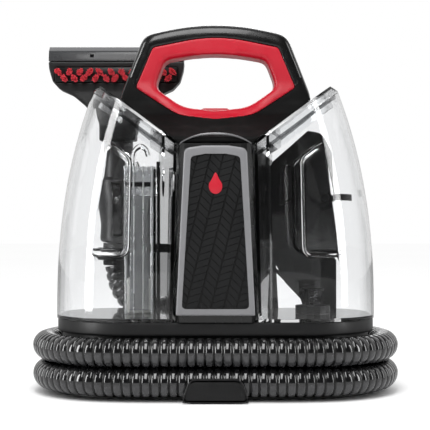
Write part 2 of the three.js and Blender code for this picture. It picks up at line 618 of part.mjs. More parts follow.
// The right-hand tank's outline at a height, moved in by a distance.
function tankRing(z, distance) {
  const lean = Math.max(0, (z - DECK.top) / TANK.height) ** 2;
  const half = tankHalf(z) - distance;
  const [front, rear] = [TANK.front + 6 * lean + distance, TANK.rear - 3 * lean - distance];
  const innerHalf = (y) => columnHalf(y, Math.min(z, COLUMN.top)) + 2.2 + distance;
  const radiusAt = (y, radius) => Math.min(radius - 8 * lean - distance, half - innerHalf(y) - 2);
  const [frontRadius, rearRadius] = [radiusAt(front, 74), radiusAt(rear, 60)];
  const arc = (cx, cy, radius, from, to) =>
    Array.from({ length: CORNER_STEPS + 1 }, (_, i) => {
      const angle = ((from + ((to - from) * i) / CORNER_STEPS) / 180) * Math.PI;
      return [cx + radius * Math.cos(angle), cy + radius * Math.sin(angle)];
    });
  return {
    z,
    points: [
      [innerHalf(front), front],
      ...arc(half - frontRadius, front + frontRadius, frontRadius, -90, 0),
      ...arc(half - rearRadius, rear - rearRadius, rearRadius, 0, 90),
      [innerHalf(rear), rear],
    ],
  };
}

const tankBody = (distance, bottom = TANK.bottom) =>
  loft([bottom, ...TANK_LEVELS.slice(1)].map((z) => tankRing(z, distance)));

// The slab of space whose height above the sloping underside of the handle lies between low and high.
function slopeSlab(low, high) {
  const at = (x, height) => [x, SLOPE_Z + SLOPE * (x - SLOPE_X) + height / OUTWARD.x];
  return prismY(polygon([at(0, low), at(200, low), at(200, high), at(0, high)]), -150, 150);
}
const lidCap = prismY(polygon([[0, 0], [200, 0], [200, 266], [110.5, 293], [0, 325]]), -150, 150);

// Finger recesses in the front and the back of the tank's outer corner, a flat with a ledge below it.
const RECESS = { front: -78, rear: 53 };
function recess(grow) {
  const outline = polygon([
    [82 - grow, 134 - grow], [80 - grow, 223 + grow / 2], [118, 252 + grow * 1.4],
    [160, 252 + grow * 1.4], [160, 134 - grow],
  ]);
  return join(prismY(outline, -130, RECESS.front + grow), prismY(outline, RECESS.rear - grow, 110));
}

function tankShell() {
  const outer = cut(tankBody(0), recess(0));
  const inner = cut(tankBody(WALL, TANK.bottom + 3), recess(WALL));
  return cut(outer, inner, slopeSlab(-LID_THICK - GAP, 200));
}

const PLUG_INSET = 10;
function tankLid() {
  const plate = tankBody(0).intersect(slopeSlab(-LID_THICK, -0.6)).intersect(lidCap);
  const ring = cut(tankBody(PLUG_INSET), tankBody(PLUG_INSET + 2.4, 60));
  const plug = ring.intersect(slopeSlab(-LID_THICK - 9, -LID_THICK + 1));
  return join(plate, plug);
}
function lidSeal() {
  const ring = cut(tankBody(WALL + 0.5), tankBody(PLUG_INSET - 0.5, 60));
  return ring.intersect(slopeSlab(-LID_THICK - 3.5, -LID_THICK - GAP));
}

const leftShell = () => cut(mirrorX(tankShell()), portCut(AIR_PORT, 0), portCut(WATER_PORT, 0));
const VALVE_HOLE_R = 15;
const rightShell = () => cut(tankShell(), cylinderZ(VALVE_HOLE_R, 60, 80, VALVE.x, VALVE.y));

// The separator stack inside the recovery tank: a ribbed tube that the float rises in, and a vent cane.
const STACK = { x0: -90, x1: -58, y0: -22, y1: 18, z0: TANK.bottom + 3 + GAP, z1: 218 };
const FLOAT = { z0: 75.9, z1: 110 };
function separatorStack() {
  const outer = box(STACK.x0, STACK.x1, STACK.y0, STACK.y1, STACK.z0, STACK.z1);
  const inner = box(STACK.x0 + 2, STACK.x1 - 2, STACK.y0 + 2, STACK.y1 - 2, STACK.z0 - 1, STACK.z1 - 2);
  const ribs = [-83, -74, -65].map((x) =>
    box(x - 0.8, x + 0.8, STACK.y0 - 2, STACK.y0 + 1, STACK.z0, STACK.z1),
  );
  const mouths = [-86, -75].map((x) =>
    box(x, x + 9, STACK.y0 - 3, STACK.y0 + 4, STACK.z0 + 4, STACK.z0 + 12),
  );
  const window = box(-62, -50, -10, 8, 190, 208);
  const cane = tube(
    [[-81, -2, 216], [-81, -2, 228], [-79, -2, 235], [-73.5, -2, 238.5], [-68, -2, 235], [-66, -2, 229]],
    2.6, 12, 8,
  );
  return join(cut(join(outer, ...ribs), inner, ...mouths, window), cane);
}
function floatBlock() {
  const [x, y] = [middle(STACK.x0, STACK.x1), middle(STACK.y0, STACK.y1)];
  return prismZ(roundedRectangle(13, 17, 4, x, y), FLOAT.z0, FLOAT.z1, 3);
}

const CAP_PROFILE = [
  [8.5, 72.6], [14.5, 72.6], [14.5, 75.6], [17, 75.6], [17, 83],
  [4.2, 83], [4.2, 80.5], [8.5, 80.5], [8.5, 72.6],
];
const POPPET_PROFILE = [
  [0, 77.6], [3, 77.6], [3.4, 83.4], [7.5, 83.4], [7.5, 85.6], [2, 85.6], [2, 94], [0, 94],
];
const valveCap = () => turned(CAP_PROFILE, VALVE.x, VALVE.y, 16);
const valvePoppet = () => turned(POPPET_PROFILE, VALVE.x, VALVE.y, 12);
function valveCage() {
  const top = ringZ(0.01, 11, 97.5, 99.5, VALVE.x, VALVE.y, 12);
  const bore = cylinderZ(2.6, 90, 110, VALVE.x, VALVE.y, 12);
  const post = box(9, 11, -1.5, 1.5, 83.3, 98);
  const posts = [0, 120, 240].map((angle) => post.rotate([0, 0, angle]).translate([VALVE.x, VALVE.y, 0]));
  return join(cut(top, bore), ...posts);
}

add("recovery_tank", leftShell(), CLEAR);
add("recovery_tank_lid", mirrorX(tankLid()), CLEAR);
add("recovery_lid_seal", mirrorX(lidSeal()), RUBBER);
add("separator_stack", separatorStack(), SMOKE);
add("float", floatBlock(), WHITE_PLASTIC);
add("solution_tank", rightShell(), CLEAR);
add("solution_tank_lid", tankLid(), CLEAR);
add("solution_lid_seal", lidSeal(), RUBBER);
add("valve_cap", valveCap(), BLACK_SATIN);
add("valve_poppet", valvePoppet(), BLACK_SATIN);
add("valve_cage", valveCage(), BLACK_SATIN);
add("valve_spring", spring(VALVE.x, VALVE.y, 85.6 + GAP, 97.5 - GAP, 4, 0.5, 4), STEEL);

// ---------------------------------------------------------------- hose
// The hose leaves its port at the rear left corner and runs left, front, right and back, twice.
// It climbs one row along the back each time, then bends up behind the recovery tank to the wand.
const HOSE_START = (150 / 180) * Math.PI; // angle round the rear left corner
const HOSE_HIGH_Z = HOSE_LOW_Z + ROW_STEP;
const CLIMB = { from: 76, over: 156 }; // along the back, in the direction of -X
const BEND_R = 48;
const HOSE_TOP = 118;

// Points round one corner of the wound rectangle, from one angle to another.
function corner(signX, signY, from, to, steps, z) {
  const { x, y, r } = HOSE_HALF;
  return Array.from({ length: steps + 1 }, (_, i) => {
    const angle = from + ((to - from) * i) / steps;
    return [signX * (x - r) + r * Math.cos(angle), signY * (y - r) + r * Math.sin(angle), z];
  });
}

function lap(start, z) {
  const quarter = Math.PI / 2;
  const { y } = HOSE_HALF;
  return [
    ...corner(-1, 1, start, start + 0.02, 1, z),
    ...corner(-1, 1, start + 0.13, Math.PI, 2, z),
    ...corner(-1, -1, Math.PI * 1.02, 3 * quarter, 3, z),
    [-27, -y, z],
    [27, -y, z],
    ...corner(1, -1, -quarter, -0.02 * Math.PI, 3, z),
    ...corner(1, 1, 0, quarter, 3, z),
  ];
}

const climb = (x, z) => z + (ROW_STEP * (CLIMB.from - x)) / CLIMB.over;

function hoseRoute() {
  const { y } = HOSE_HALF;
  const onBack = (xs, z) => xs.map((x) => [x, y, climb(x, z)]);
  const tilt = Math.atan(ROW_STEP / CLIMB.over);
  const centre = { x: WAND.x + BEND_R };
  const bendStartX = centre.x - BEND_R * Math.sin(tilt);
  const bendStartZ = climb(bendStartX, HOSE_HIGH_Z);
  const centreZ = bendStartZ + BEND_R * Math.cos(tilt);
  const bend = [0, 1, 2, 3].map((i) => {
    const angle = -Math.PI / 2 - tilt - ((Math.PI / 2 - tilt) * i) / 3;
    return [centre.x + BEND_R * Math.cos(angle), y, centreZ + BEND_R * Math.sin(angle)];
  });
  return [
    ...lap(HOSE_START, HOSE_LOW_Z),
    ...onBack([30, -25], HOSE_LOW_Z),
    ...lap(Math.PI / 2, HOSE_HIGH_Z),
    ...onBack([30, -15], HOSE_HIGH_Z),
    ...bend,
    [WAND.x, y, HOSE_TOP],
  ];
}
const vacuumHose = () => tube(hoseRoute(), HOSE_R, 62, 10);

// The elbow that carries the hose through the wall of the base.
function hosePort() {
  const spigotAngle = HOSE_START + Math.PI / 2;
  const mouth = aroundCorner(HOSE_HALF.r, HOSE_START);
  const out = new THREE.Vector3(Math.cos(spigotAngle), Math.sin(spigotAngle), 0);
  const back = new THREE.Vector3(...mouth).addScaledVector(out, -GAP);
  const knee = back.clone().addScaledVector(out, -14);
  const radial = tube([aroundCorner(CORE.r - 3, PORT_ANGLE), knee.toArray()], DUCT_R, 1, 12);
  const spigot = tube([knee.toArray(), back.toArray()], 12.6, 1, 12);
  const ball = solid(new THREE.SphereGeometry(12.6, 10, 6).translate(...knee.toArray()));
  return join(radial, spigot, ball);
}

add("hose_port", hosePort(), BLACK_SATIN);
add("vacuum_hose", vacuumHose(), HOSE_GREY);

// ---------------------------------------------------------------- wand
const NECK_R = 11;
const GRIP = { r: 20.5, z0: 142, z1: 210, stemR: 16.6, stemTop: 248 };
const TRIGGER = { pivotZ: 203, y: WAND.y - 15, half: 5 };
const HEAD = { y0: 81, y1: 107, seam: 331, top: 347 };

// An open-backed clip that the narrow neck of the wand pushes into.
function wandClip() {
  const whole = ringZ(NECK_R + 0.5, NECK_R + 6, 132, 141, WAND.x, WAND.y, 24);
  const ring = cut(whole, box(-125, -84, WAND.y + 0.5, 130, 120, 150));
  const arm = box(WAND.x + 14, -30, COLUMN.back + GAP, COLUMN.back + 6, 132, 141);
  const plate = box(-43, -30, COLUMN.back + GAP, COLUMN.back + 6, 122, 151);
  const web = box(WAND.x + 8, WAND.x + 17, COLUMN.back + GAP, WAND.y - 2, 132, 141);
  return join(cut(join(arm, web), cylinderZ(NECK_R + 3, 120, 150, WAND.x, WAND.y)), ring, plate);
}

function wandGrip() {
  const profile = [
    [0, 124], [22, 124], [23, 125.5], [23, 129], [21.5, 130.5], [NECK_R, 131.5], [NECK_R, 141.4],
    [18.5, 142], [GRIP.r, 145], [GRIP.r, 207], [18.5, 210], [GRIP.stemR, 211],
    [GRIP.stemR, GRIP.stemTop], [11.5, GRIP.stemTop], [11.5, 160], [9, 128], [0, 128],
  ];
  const body = turned(profile, WAND.x, WAND.y, 16);
  const [left, right] = [WAND.x - TRIGGER.half, WAND.x + TRIGGER.half];
  const slot = box(left - 0.4, right + 0.4, WAND.y - 30, WAND.y - 8, 150, 206);
  const pin = cylinderX(1.5, left - 2, right + 2, TRIGGER.y, TRIGGER.pivotZ, 10);
  const latchSlot = box(WAND.x - 5.4, WAND.x + 5.4, WAND.y + 8, WAND.y + 30, 224.6, 235.4);
  return join(cut(body, slot, latchSlot), pin);
}

const TRIGGER_SIDE = [
  [-6, 202], [-10.5, 205], [-12.5, 200], [-22, 192], [-25.5, 178], [-24, 164], [-19, 153], [-15, 152],
  [-13, 160], [-12, 185], [-10, 198],
];
function trigger() {
  const [left, right] = [WAND.x - TRIGGER.half, WAND.x + TRIGGER.half];
  const blade = prismX(polygon(TRIGGER_SIDE.map(([y, z]) => [y + WAND.y, z])), left, right);
  const eye = cylinderX(4.2, left, right, TRIGGER.y, TRIGGER.pivotZ - 1.5, 12);
  const bore = cylinderX(1.9, left - 5, right + 5, TRIGGER.y, TRIGGER.pivotZ, 10);
  return cut(join(blade, eye), bore).intersect(box(left - 5, right + 5, 0, 200, 150.6, 205));
}

const HEAD_OUTLINE = [
  [-20, 248.6, 1], [20, 248.6, 1], [21, 266, 10], [31, 283.5, 12], [46, 296, 8], [59, 301.8, 5],
  [66.5, 310, 5], [70, 322, 4], [71, HEAD.seam, 0.5], [-71, HEAD.seam, 0.5], [-70, 322, 4],
  [-66.5, 310, 5], [-59, 301.8, 5], [-46, 296, 8], [-31, 283.5, 12], [-21, 266, 10],
];
const HEAD_SIDE = [
  [-20, 248], [20, 248], [20, 264], [15, 284], [13, 300],
  [13, 340], [-13, 340], [-13, 300], [-15, 284], [-20, 264],
];
const aboutWand = (points) => points.map(([x, z, ...rest]) => [x + WAND.x, z, ...rest]);
const alongWand = (points) => points.map(([y, z]) => [y + WAND.y, z]);

function headSolid(distance) {
  const front = distance === 0 ? HEAD_OUTLINE : inset(HEAD_OUTLINE, distance);
  const side = distance === 0 ? HEAD_SIDE : inset(HEAD_SIDE, distance);
  return prismY(rounded(aboutWand(front)), 60, 130, 3).intersect(prismX(polygon(alongWand(side)), -200, 0));
}

// The head socket slides over the top of the stem; its mouth is closed by the nozzle.
function toolHead() {
  const mouth = box(WAND.x - 66, WAND.x + 66, WAND.y - 9, WAND.y + 9, 322, 340);
  const socket = cylinderZ(15, 240, 262, WAND.x, WAND.y, 16);
  const brushSeat = box(WAND.x - 64, WAND.x + 64, 70, HEAD.y0 + 1.3, 309, 325);
  return cut(headSolid(0), headSolid(2.6), mouth, socket, brushSeat);
}

const NOZZLE_SIDE = [[-13, 331.4], [13, 331.4], [11, 341], [3, HEAD.top], [-3, HEAD.top], [-11, 341]];
const NOZZLE_BORE = [
  [-10.4, 330], [10.4, 330], [8.6, 340], [1, HEAD.top + 1], [-1, HEAD.top + 1], [-8.6, 340],
];
function suctionNozzle() {
  const side = prismX(polygon(alongWand(NOZZLE_SIDE)), WAND.x - 70.5, WAND.x + 70.5);
  const bore = prismX(polygon(alongWand(NOZZLE_BORE)), WAND.x - 67.5, WAND.x + 67.5);
  return cut(side, bore);
}

// Two rows of bristle tufts leaning in turn left and right.
const TUFTS = 11;
function brush() {
  const bar = box(WAND.x - 63.7, WAND.x + 63.7, HEAD.y0 - 1.5, HEAD.y0 + 1, 309.3, 324.7);
  const row = (z, shift) =>
    Array.from({ length: TUFTS }, (_, i) => {
      const x = WAND.x + (i - (TUFTS - 1) / 2) * 11.2 + shift;
      return box(x - 2.6, x + 2.6, HEAD.y0 - 8.5, HEAD.y0 - 1, z - 2, z + 2);
    });
  return join(bar, ...row(320.2, -1.5), ...row(313.6, 1.5));
}

const sprayTip = () =>
  join(
    cylinderY(5, WAND.y - 19.5, WAND.y - 16.2, WAND.x, 287, 12),
    cylinderY(2.5, WAND.y - 23, WAND.y - 19, WAND.x, 287, 10),
  );
const headLatch = () =>
  join(
    box(WAND.x - 5, WAND.x + 5, WAND.y + 13, WAND.y + 19.5, 225, 235),
    box(WAND.x - 3, WAND.x + 3, WAND.y + 12.6, WAND.y + 14, 226, 234),
  );
const hoseCuff = () => ringZ(4, 15.5, HOSE_TOP + GAP, 123.7, WAND.x, WAND.y, 20);

add("wand_clip", wandClip(), BLACK_SATIN);
add("hose_cuff", hoseCuff(), RUBBER);
add("wand_grip", wandGrip(), BLACK_SATIN);
add("spray_trigger", trigger(), BLACK_GLOSS);
add("head_latch", headLatch(), BLACK_GLOSS);
add("tool_head", toolHead(), BLACK_SATIN);
add("suction_nozzle", suctionNozzle(), SMOKE);
add("bristle_brush", brush(), RED);
add("spray_tip", sprayTip(), BLACK_SATIN);

export default machine;
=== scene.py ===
import contextlib
import json
import math
import random

import bmesh
import bpy
import numpy as np
from mathutils import Matrix, Vector

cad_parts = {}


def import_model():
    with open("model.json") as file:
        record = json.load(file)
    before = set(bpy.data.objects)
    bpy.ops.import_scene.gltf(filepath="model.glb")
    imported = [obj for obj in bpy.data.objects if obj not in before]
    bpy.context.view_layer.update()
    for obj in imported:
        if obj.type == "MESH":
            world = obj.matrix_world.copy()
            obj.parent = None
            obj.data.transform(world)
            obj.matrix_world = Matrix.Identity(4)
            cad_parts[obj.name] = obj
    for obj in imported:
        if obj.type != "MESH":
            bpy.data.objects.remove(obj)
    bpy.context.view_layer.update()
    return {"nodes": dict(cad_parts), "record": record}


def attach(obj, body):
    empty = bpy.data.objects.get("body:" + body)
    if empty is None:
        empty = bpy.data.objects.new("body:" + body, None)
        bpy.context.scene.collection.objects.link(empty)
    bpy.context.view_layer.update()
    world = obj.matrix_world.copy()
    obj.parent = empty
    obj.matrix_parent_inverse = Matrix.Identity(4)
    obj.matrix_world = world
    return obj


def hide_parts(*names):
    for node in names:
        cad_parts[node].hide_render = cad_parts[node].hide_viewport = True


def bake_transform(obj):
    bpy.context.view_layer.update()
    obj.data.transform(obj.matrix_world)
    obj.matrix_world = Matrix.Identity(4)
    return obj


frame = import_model()
SCENE = bpy.context.scene
MM = 0.001

# ------ dimensions shared with the CAD source
GAP = 0.3
WALL = 2.6
HOSE_R = 13.5
HOSE_HALF_X, HOSE_HALF_Y, HOSE_CORNER = 164.5, 94.0, 85.0
HOSE_LOW_Z = 17.8
ROW_STEP = 2 * HOSE_R + GAP
DECK_TOP = 72.0
COLUMN_FRONT, COLUMN_TOP = -90.0, 237.6
SLOPE, SLOPE_X, SLOPE_Z = 0.75, 34.0, 238.0
WAND_X, WAND_Y = -103.5, 94.0

CAMERA_AWAY, CAMERA_HEIGHT = 1.385, 0.176
LENS, LENS_SHIFT = 117.7, (-0.0012, -0.0116)


# ------ camera
def make_camera():
    data = bpy.data.cameras.new("camera")
    data.sensor_width = 36
    data.lens = LENS
    data.shift_x, data.shift_y = LENS_SHIFT
    data.clip_end = 50
    camera = bpy.data.objects.new("camera", data)
    camera.location = (0, -CAMERA_AWAY, CAMERA_HEIGHT)
    camera.rotation_euler = (math.radians(90), 0, 0)
    SCENE.collection.objects.link(camera)
    SCENE.camera = camera


make_camera()


# ------ materials
def node_material(name, color, roughness, metallic=0.0, coat=0.0, transmission=0.0, ior=1.46):
    material = bpy.data.materials.new(name)
    material.use_nodes = True
    shader = material.node_tree.nodes["Principled BSDF"]
    shader.inputs["Base Color"].default_value = (*color, 1)
    shader.inputs["Roughness"].default_value = roughness
    shader.inputs["Metallic"].default_value = metallic
    shader.inputs["Coat Weight"].default_value = coat
    shader.inputs["Coat Roughness"].default_value = 0.06
    shader.inputs["Transmission Weight"].default_value = transmission
    shader.inputs["IOR"].default_value = ior
    return material, material.node_tree, shader


def noise(tree, scale, detail=3.0, stretch=(1, 1, 1)):
    coordinates = tree.nodes.new("ShaderNodeTexCoord")
    mapping = tree.nodes.new("ShaderNodeMapping")
    mapping.inputs["Scale"].default_value = stretch
    texture = tree.nodes.new("ShaderNodeTexNoise")
    texture.inputs["Scale"].default_value = scale
    texture.inputs["Detail"].default_value = detail
    tree.links.new(coordinates.outputs["Object"], mapping.inputs["Vector"])
    tree.links.new(mapping.outputs["Vector"], texture.inputs["Vector"])
    return texture.outputs["Fac"]


def ranged(tree, value, start, end, low=0.0, high=1.0):
    """Maps a value from start and end to low and high."""
    ramp = tree.nodes.new("ShaderNodeMapRange")
    settings = {"From Min": start, "From Max": end, "To Min": low, "To Max": high}
    for label, setting in settings.items():
        ramp.inputs[label].default_value = setting
    tree.links.new(value, ramp.inputs["Value"])
    return ramp.outputs["Result"]


def spread(tree, fac, low, high):
    return ranged(tree, fac, 0.3, 0.7, low, high)


def tint(tree, fac, dark, light):
    mix = tree.nodes.new("ShaderNodeMix")
    mix.data_type = "RGBA"
    tree.links.new(fac, mix.inputs["Factor"])
    mix.inputs["A"].default_value = (*dark, 1)
    mix.inputs["B"].default_value = (*light, 1)
    return mix.outputs["Result"]


def bump(tree, shader, height, strength, distance):
    node = tree.nodes.new("ShaderNodeBump")
    node.inputs["Strength"].default_value = strength
    node.inputs["Distance"].default_value = distance
    tree.links.new(height, node.inputs["Height"])
    tree.links.new(node.outputs["Normal"], shader.inputs["Normal"])


def moulded(
    name, color, roughness, grain=900.0, strength=0.1, coat=0.0, metallic=0.0, vary=0.15, specular=0.5
):
    """A moulding: fine grain, a little variation in colour, and gloss that is uneven from handling."""
    material, tree, shader = node_material(name, color, roughness, metallic, coat)
    shader.inputs["Specular IOR Level"].default_value = specular
    broad = noise(tree, 14, 4)
    light = [min(1, c * (1 + vary) + 0.001) for c in color]
    dark = [c * (1 - vary) for c in color]
    tree.links.new(tint(tree, broad, dark, light), shader.inputs["Base Color"])
    smear = noise(tree, 55, 5, (1, 1, 0.5))
    tree.links.new(spread(tree, smear, roughness * 0.82, roughness * 1.2), shader.inputs["Roughness"])
    bump(tree, shader, noise(tree, grain, 2), strength, 0.0002)
    return material


def clear_plastic(name, color, roughness=0.02, ior=1.4):
    material, tree, shader = node_material(name, color, roughness, transmission=1.0, ior=ior)
    smear = noise(tree, 30, 4, (1, 1, 0.4))
    tree.links.new(spread(tree, smear, roughness * 0.6, roughness * 1.6), shader.inputs["Roughness"])
    bump(tree, shader, noise(tree, 26, 1), 0.05, 0.0004)
    return material


def frosted(name, color, roughness, clear):
    material, tree, shader = node_material(name, color, roughness, transmission=clear, ior=1.4)
    smear = spread(tree, noise(tree, 60, 4), roughness * 0.7, roughness * 1.3)
    tree.links.new(smear, shader.inputs["Roughness"])
    bump(tree, shader, noise(tree, 300, 2), 0.08, 0.0003)
    return material


def ribbed_hose(name):
    """Rounded dark-grey ribs, with painted shade, near black, in the grooves between them, and painted
    light that makes them lighter underneath, in random specks.
    """
    material, tree, shader = node_material(name, (0.03, 0.03, 0.032), 0.22, coat=0.6)
    uv = tree.nodes.new("ShaderNodeUVMap")
    uv.uv_map = "wrap"
    split = tree.nodes.new("ShaderNodeSeparateXYZ")
    tree.links.new(uv.outputs["UV"], split.inputs["Vector"])

    def math_node(kind, *values):
        node = tree.nodes.new("ShaderNodeMath")
        node.operation = kind
        for i, value in enumerate(values):
            if isinstance(value, (int, float)):
                node.inputs[i].default_value = value
            else:
                tree.links.new(value, node.inputs[i])
        return node.outputs["Value"]

    turn = math_node("FRACT", split.outputs["Y"])
    away = math_node("ABSOLUTE", math_node("SUBTRACT", turn, 0.5))
    # Painted shade: the grooves between the ribs are coloured near black, standing in for the shade
    # that falls in them.
    groove = ranged(tree, away, 0.35, 0.42)
    # Painted light: the hose is coloured lighter towards its underside, where more light reaches it,
    # broken up by random specks.
    under = ranged(tree, split.outputs["X"], 0.1, -0.25)
    specks = spread(tree, noise(tree, 160, 4), 0.55, 1.35)
    lit = math_node("MULTIPLY", under, specks)
    band = tint(tree, lit, (0.004, 0.004, 0.0044), (0.042, 0.042, 0.044))
    mix = tree.nodes.new("ShaderNodeMix")
    mix.data_type = "RGBA"
    tree.links.new(groove, mix.inputs["Factor"])
    tree.links.new(band, mix.inputs["A"])
    mix.inputs["B"].default_value = (0.0015, 0.0015, 0.0015, 1)
    tree.links.new(mix.outputs["Result"], shader.inputs["Base Color"])
    tree.links.new(ranged(tree, groove, 0, 1, 0.15, 0.45), shader.inputs["Roughness"])
    bump(tree, shader, noise(tree, 420, 2), 0.04, 0.0003)
    return material


BLACK_GLOSS = moulded("black_gloss", (0.0025, 0.0025, 0.0026), 0.26, 700, 0.03, coat=0.25, vary=0.3)
BLACK_SATIN = moulded("black_satin", (0.006, 0.006, 0.0064), 0.42, 1200, 0.25, specular=0.4)
BLACK_DEEP = moulded("black_deep", (0.002, 0.002, 0.002), 0.34, 900, 0.1, specular=0.35)
RED = moulded("red", (0.43, 0.0035, 0.017), 0.36, 900, 0.06, vary=0.05, specular=0.4)
BRISTLE_RED = moulded("bristle_red", (0.8, 0.04, 0.065), 0.55, 1600, 0.2)
SILVER = moulded("silver", (0.2, 0.2, 0.208), 0.46, 1500, 0.04, metallic=0.3, vary=0.04)
CLEAR = clear_plastic("clear", (0.975, 0.98, 0.985))
SMOKE = clear_plastic("smoke", (0.35, 0.355, 0.36), 0.08)
FROST = frosted("frost", (0.75, 0.76, 0.77), 0.3, 0.55)
GREY = moulded("grey", (0.3, 0.305, 0.31), 0.35, 900, 0.1)
NOZZLE_GREY = moulded("nozzle_grey", (0.032, 0.033, 0.035), 0.3, 500, 0.05, coat=0.15, specular=0.4)
WAND_GREY = moulded("wand_grey", (0.022, 0.022, 0.023), 0.36, 1200, 0.2, specular=0.45)
MATT = moulded("matt", (0.0022, 0.0022, 0.0022), 0.6, 1500, 0.2, specular=0.12)
RUBBER = moulded("rubber", (0.012, 0.012, 0.012), 0.72, 700, 0.4)
# Painted highlight: a light grey metal that stands in for the highlights along thin edges.
PAINTED_HIGHLIGHT = moulded("painted_highlight", (0.16, 0.16, 0.165), 0.25, 1200, 0.05, metallic=0.5)
TREAD = moulded("tread", (0.0065, 0.0068, 0.0072), 0.45, 1400, 0.3, specular=0.25)
STEEL = moulded("steel", (0.5, 0.5, 0.51), 0.28, 600, 0.15, metallic=1.0)
COPPER = moulded("copper", (0.52, 0.22, 0.1), 0.38, 2200, 0.5, metallic=1.0)
WHITE = moulded("white", (0.66, 0.66, 0.63), 0.45, 900, 0.1, vary=0.05)
HOSE = ribbed_hose("hose")


# ------ meshes
@contextlib.contextmanager
def edited(mesh):
    """The mesh opened for editing, and written back at the end."""
    made = bmesh.new()
    made.from_mesh(mesh)
    yield made
    made.to_mesh(mesh)
    made.free()


def new_object(name, vertices, faces):
    mesh = bpy.data.meshes.new(name)
    mesh.from_pydata([Vector(v) * MM for v in vertices], [], faces)
    with edited(mesh) as made:
        bmesh.ops.recalc_face_normals(made, faces=made.faces)
    obj = bpy.data.objects.new(name, mesh)
    SCENE.collection.objects.link(obj)
    return obj


def rounded(corners, steps=8):
    """A closed outline whose corners [x, y, radius] are each rounded."""
    out = []
    count = len(corners)
    for i, (x, y, radius) in enumerate(corners):
        corner = Vector((x, y))
        before = (Vector(corners[i - 1][:2]) - corner).normalized()
        after = (Vector(corners[(i + 1) % count][:2]) - corner).normalized()
        if radius == 0:
            out.append((x, y))
            continue
        reach = radius / math.tan(before.angle(after) / 2)
        a, b = corner + before * reach, corner + after * reach
        for k in range(steps + 1):
            t = k / steps
            p = a * (1 - t) ** 2 + corner * 2 * t * (1 - t) + b * t**2
            out.append((p.x, p.y))
    return out


def inset(points, distance):
    """The outline moved in by a distance, point by point."""
    area = sum(p[0] * q[1] - q[0] * p[1] for p, q in zip(points, points[1:] + points[:1]))
    turn = math.copysign(distance, area)
    out = []
    for i, p in enumerate(points):
        corner = Vector(p[:2])
        a, b = Vector(points[i - 1][:2]), Vector(points[(i + 1) % len(points)][:2])
        n1 = Vector((a.y - corner.y, corner.x - a.x))
        n2 = Vector((corner.y - b.y, b.x - corner.x))
        n1.normalize()
        n2.normalize()
        bisector = (n1 + n2).normalized()
        moved = corner + bisector * turn / max(0.3, bisector.dot(n1))
        out.append((moved.x, moved.y, *p[2:]))
    return out


def circle(cx, cy, radius, steps):
    angles = [2 * math.pi * i / steps for i in range(steps)]
    return [(cx + radius * math.cos(a), cy + radius * math.sin(a)) for a in angles]


def symmetric(half):
    """The corners on the right, and then the same on the left, back to the start."""
    return half + [(-x, z, r) for x, z, r in reversed(half) if x != 0]


def twin(obj, name):
    """A copy with a mesh of its own."""
    made = obj.copy()
    made.data = obj.data.copy()
    made.name = name
    SCENE.collection.objects.link(made)
    return made


PLACE = {
    "x": lambda a, b, t: (t, a, b),
    "y": lambda a, b, t: (a, t, b),
    "z": lambda a, b, t: (a, b, t),
}


def prism(name, outline, axis, low, high):
    count = len(outline)
    put = PLACE[axis]
    vertices = [put(p[0], p[1], t) for t in (low, high) for p in outline]
    sides = [(i, (i + 1) % count, count + (i + 1) % count, count + i) for i in range(count)]
    return new_object(name, vertices, [tuple(range(count)), tuple(range(count, 2 * count)), *sides])


def skin(name, rings, closed=False):
    """Rings of 3-D points joined in order; closed joins the last ring to the first."""
    count = len(rings[0])
    vertices = [p for ring in rings for p in ring]
    faces = []
    pairs = len(rings) if closed else len(rings) - 1
    for k in range(pairs):
        low, high = k * count, ((k + 1) % len(rings)) * count
        for i in range(count):
            j = (i + 1) % count
            faces.append((low + i, low + j, high + j, high + i))
    if not closed:
        faces.append(tuple(range(count)))
        faces.append(tuple(range(len(vertices) - count, len(vertices))))
    return new_object(name, vertices, faces)


def turned(name, profile, x, y, sides=48):
    """A profile of [radius, z] turned about a vertical axis; it ends on the axis, or closes."""
    closed = profile[0] == profile[-1]
    points = profile[:-1] if closed else profile
    rings = []
    for k in range(sides):
        angle = 2 * math.pi * k / sides
        rings.append([(x + r * math.cos(angle), y + r * math.sin(angle), z) for r, z in points])
    vertices = [p for ring in rings for p in ring]
    count = len(points)
    faces = []
    for k in range(sides):
        low, high = k * count, ((k + 1) % sides) * count
        for i in range(count if closed else count - 1):
            j = (i + 1) % count
            faces.append((low + i, low + j, high + j, high + i))
    obj = new_object(name, vertices, faces)
    with edited(obj.data) as made:
        bmesh.ops.remove_doubles(made, verts=made.verts, dist=1e-6)
        bmesh.ops.recalc_face_normals(made, faces=made.faces)
    return obj


def rod(name, x, y, radius, low, high, sides):
    return turned(name, [(0, low), (radius, low), (radius, high), (0, high)], x, y, sides)


def block(name, x0, x1, y0, y1, z0, z1):
    return prism(name, [(x0, y0), (x1, y0), (x1, y1), (x0, y1)], "z", z0, z1)


def settle(obj):
    """Applies the object's modifiers to its mesh."""
    graph = bpy.context.evaluated_depsgraph_get()
    mesh = bpy.data.meshes.new_from_object(obj.evaluated_get(graph))
    old = obj.data
    obj.modifiers.clear()
    obj.data = mesh
    mesh.name = obj.name
    bpy.data.meshes.remove(old)
    return obj


def combine(base, others, operation):
    for other in others:
        modifier = base.modifiers.new("combine", "BOOLEAN")
        modifier.operation = operation
        modifier.solver = "MANIFOLD"
        modifier.object = other
        settle(base)
        bpy.data.objects.remove(other)
    return base


def minus(base, *others):
    return combine(base, others, "DIFFERENCE")


def both(base, *others):
    return combine(base, others, "INTERSECT")


def plus(base, *others):
    return combine(base, others, "UNION")


def soften(obj, voxel, iterations, weight=None):
    """Remeshes the piece evenly, then relaxes it, so that its edges come out rounded."""
    modifier = obj.modifiers.new("even", "REMESH")
    modifier.mode = "VOXEL"
    modifier.voxel_size = voxel * MM
    settle(obj)
    relax(obj, iterations, weight)
    return obj


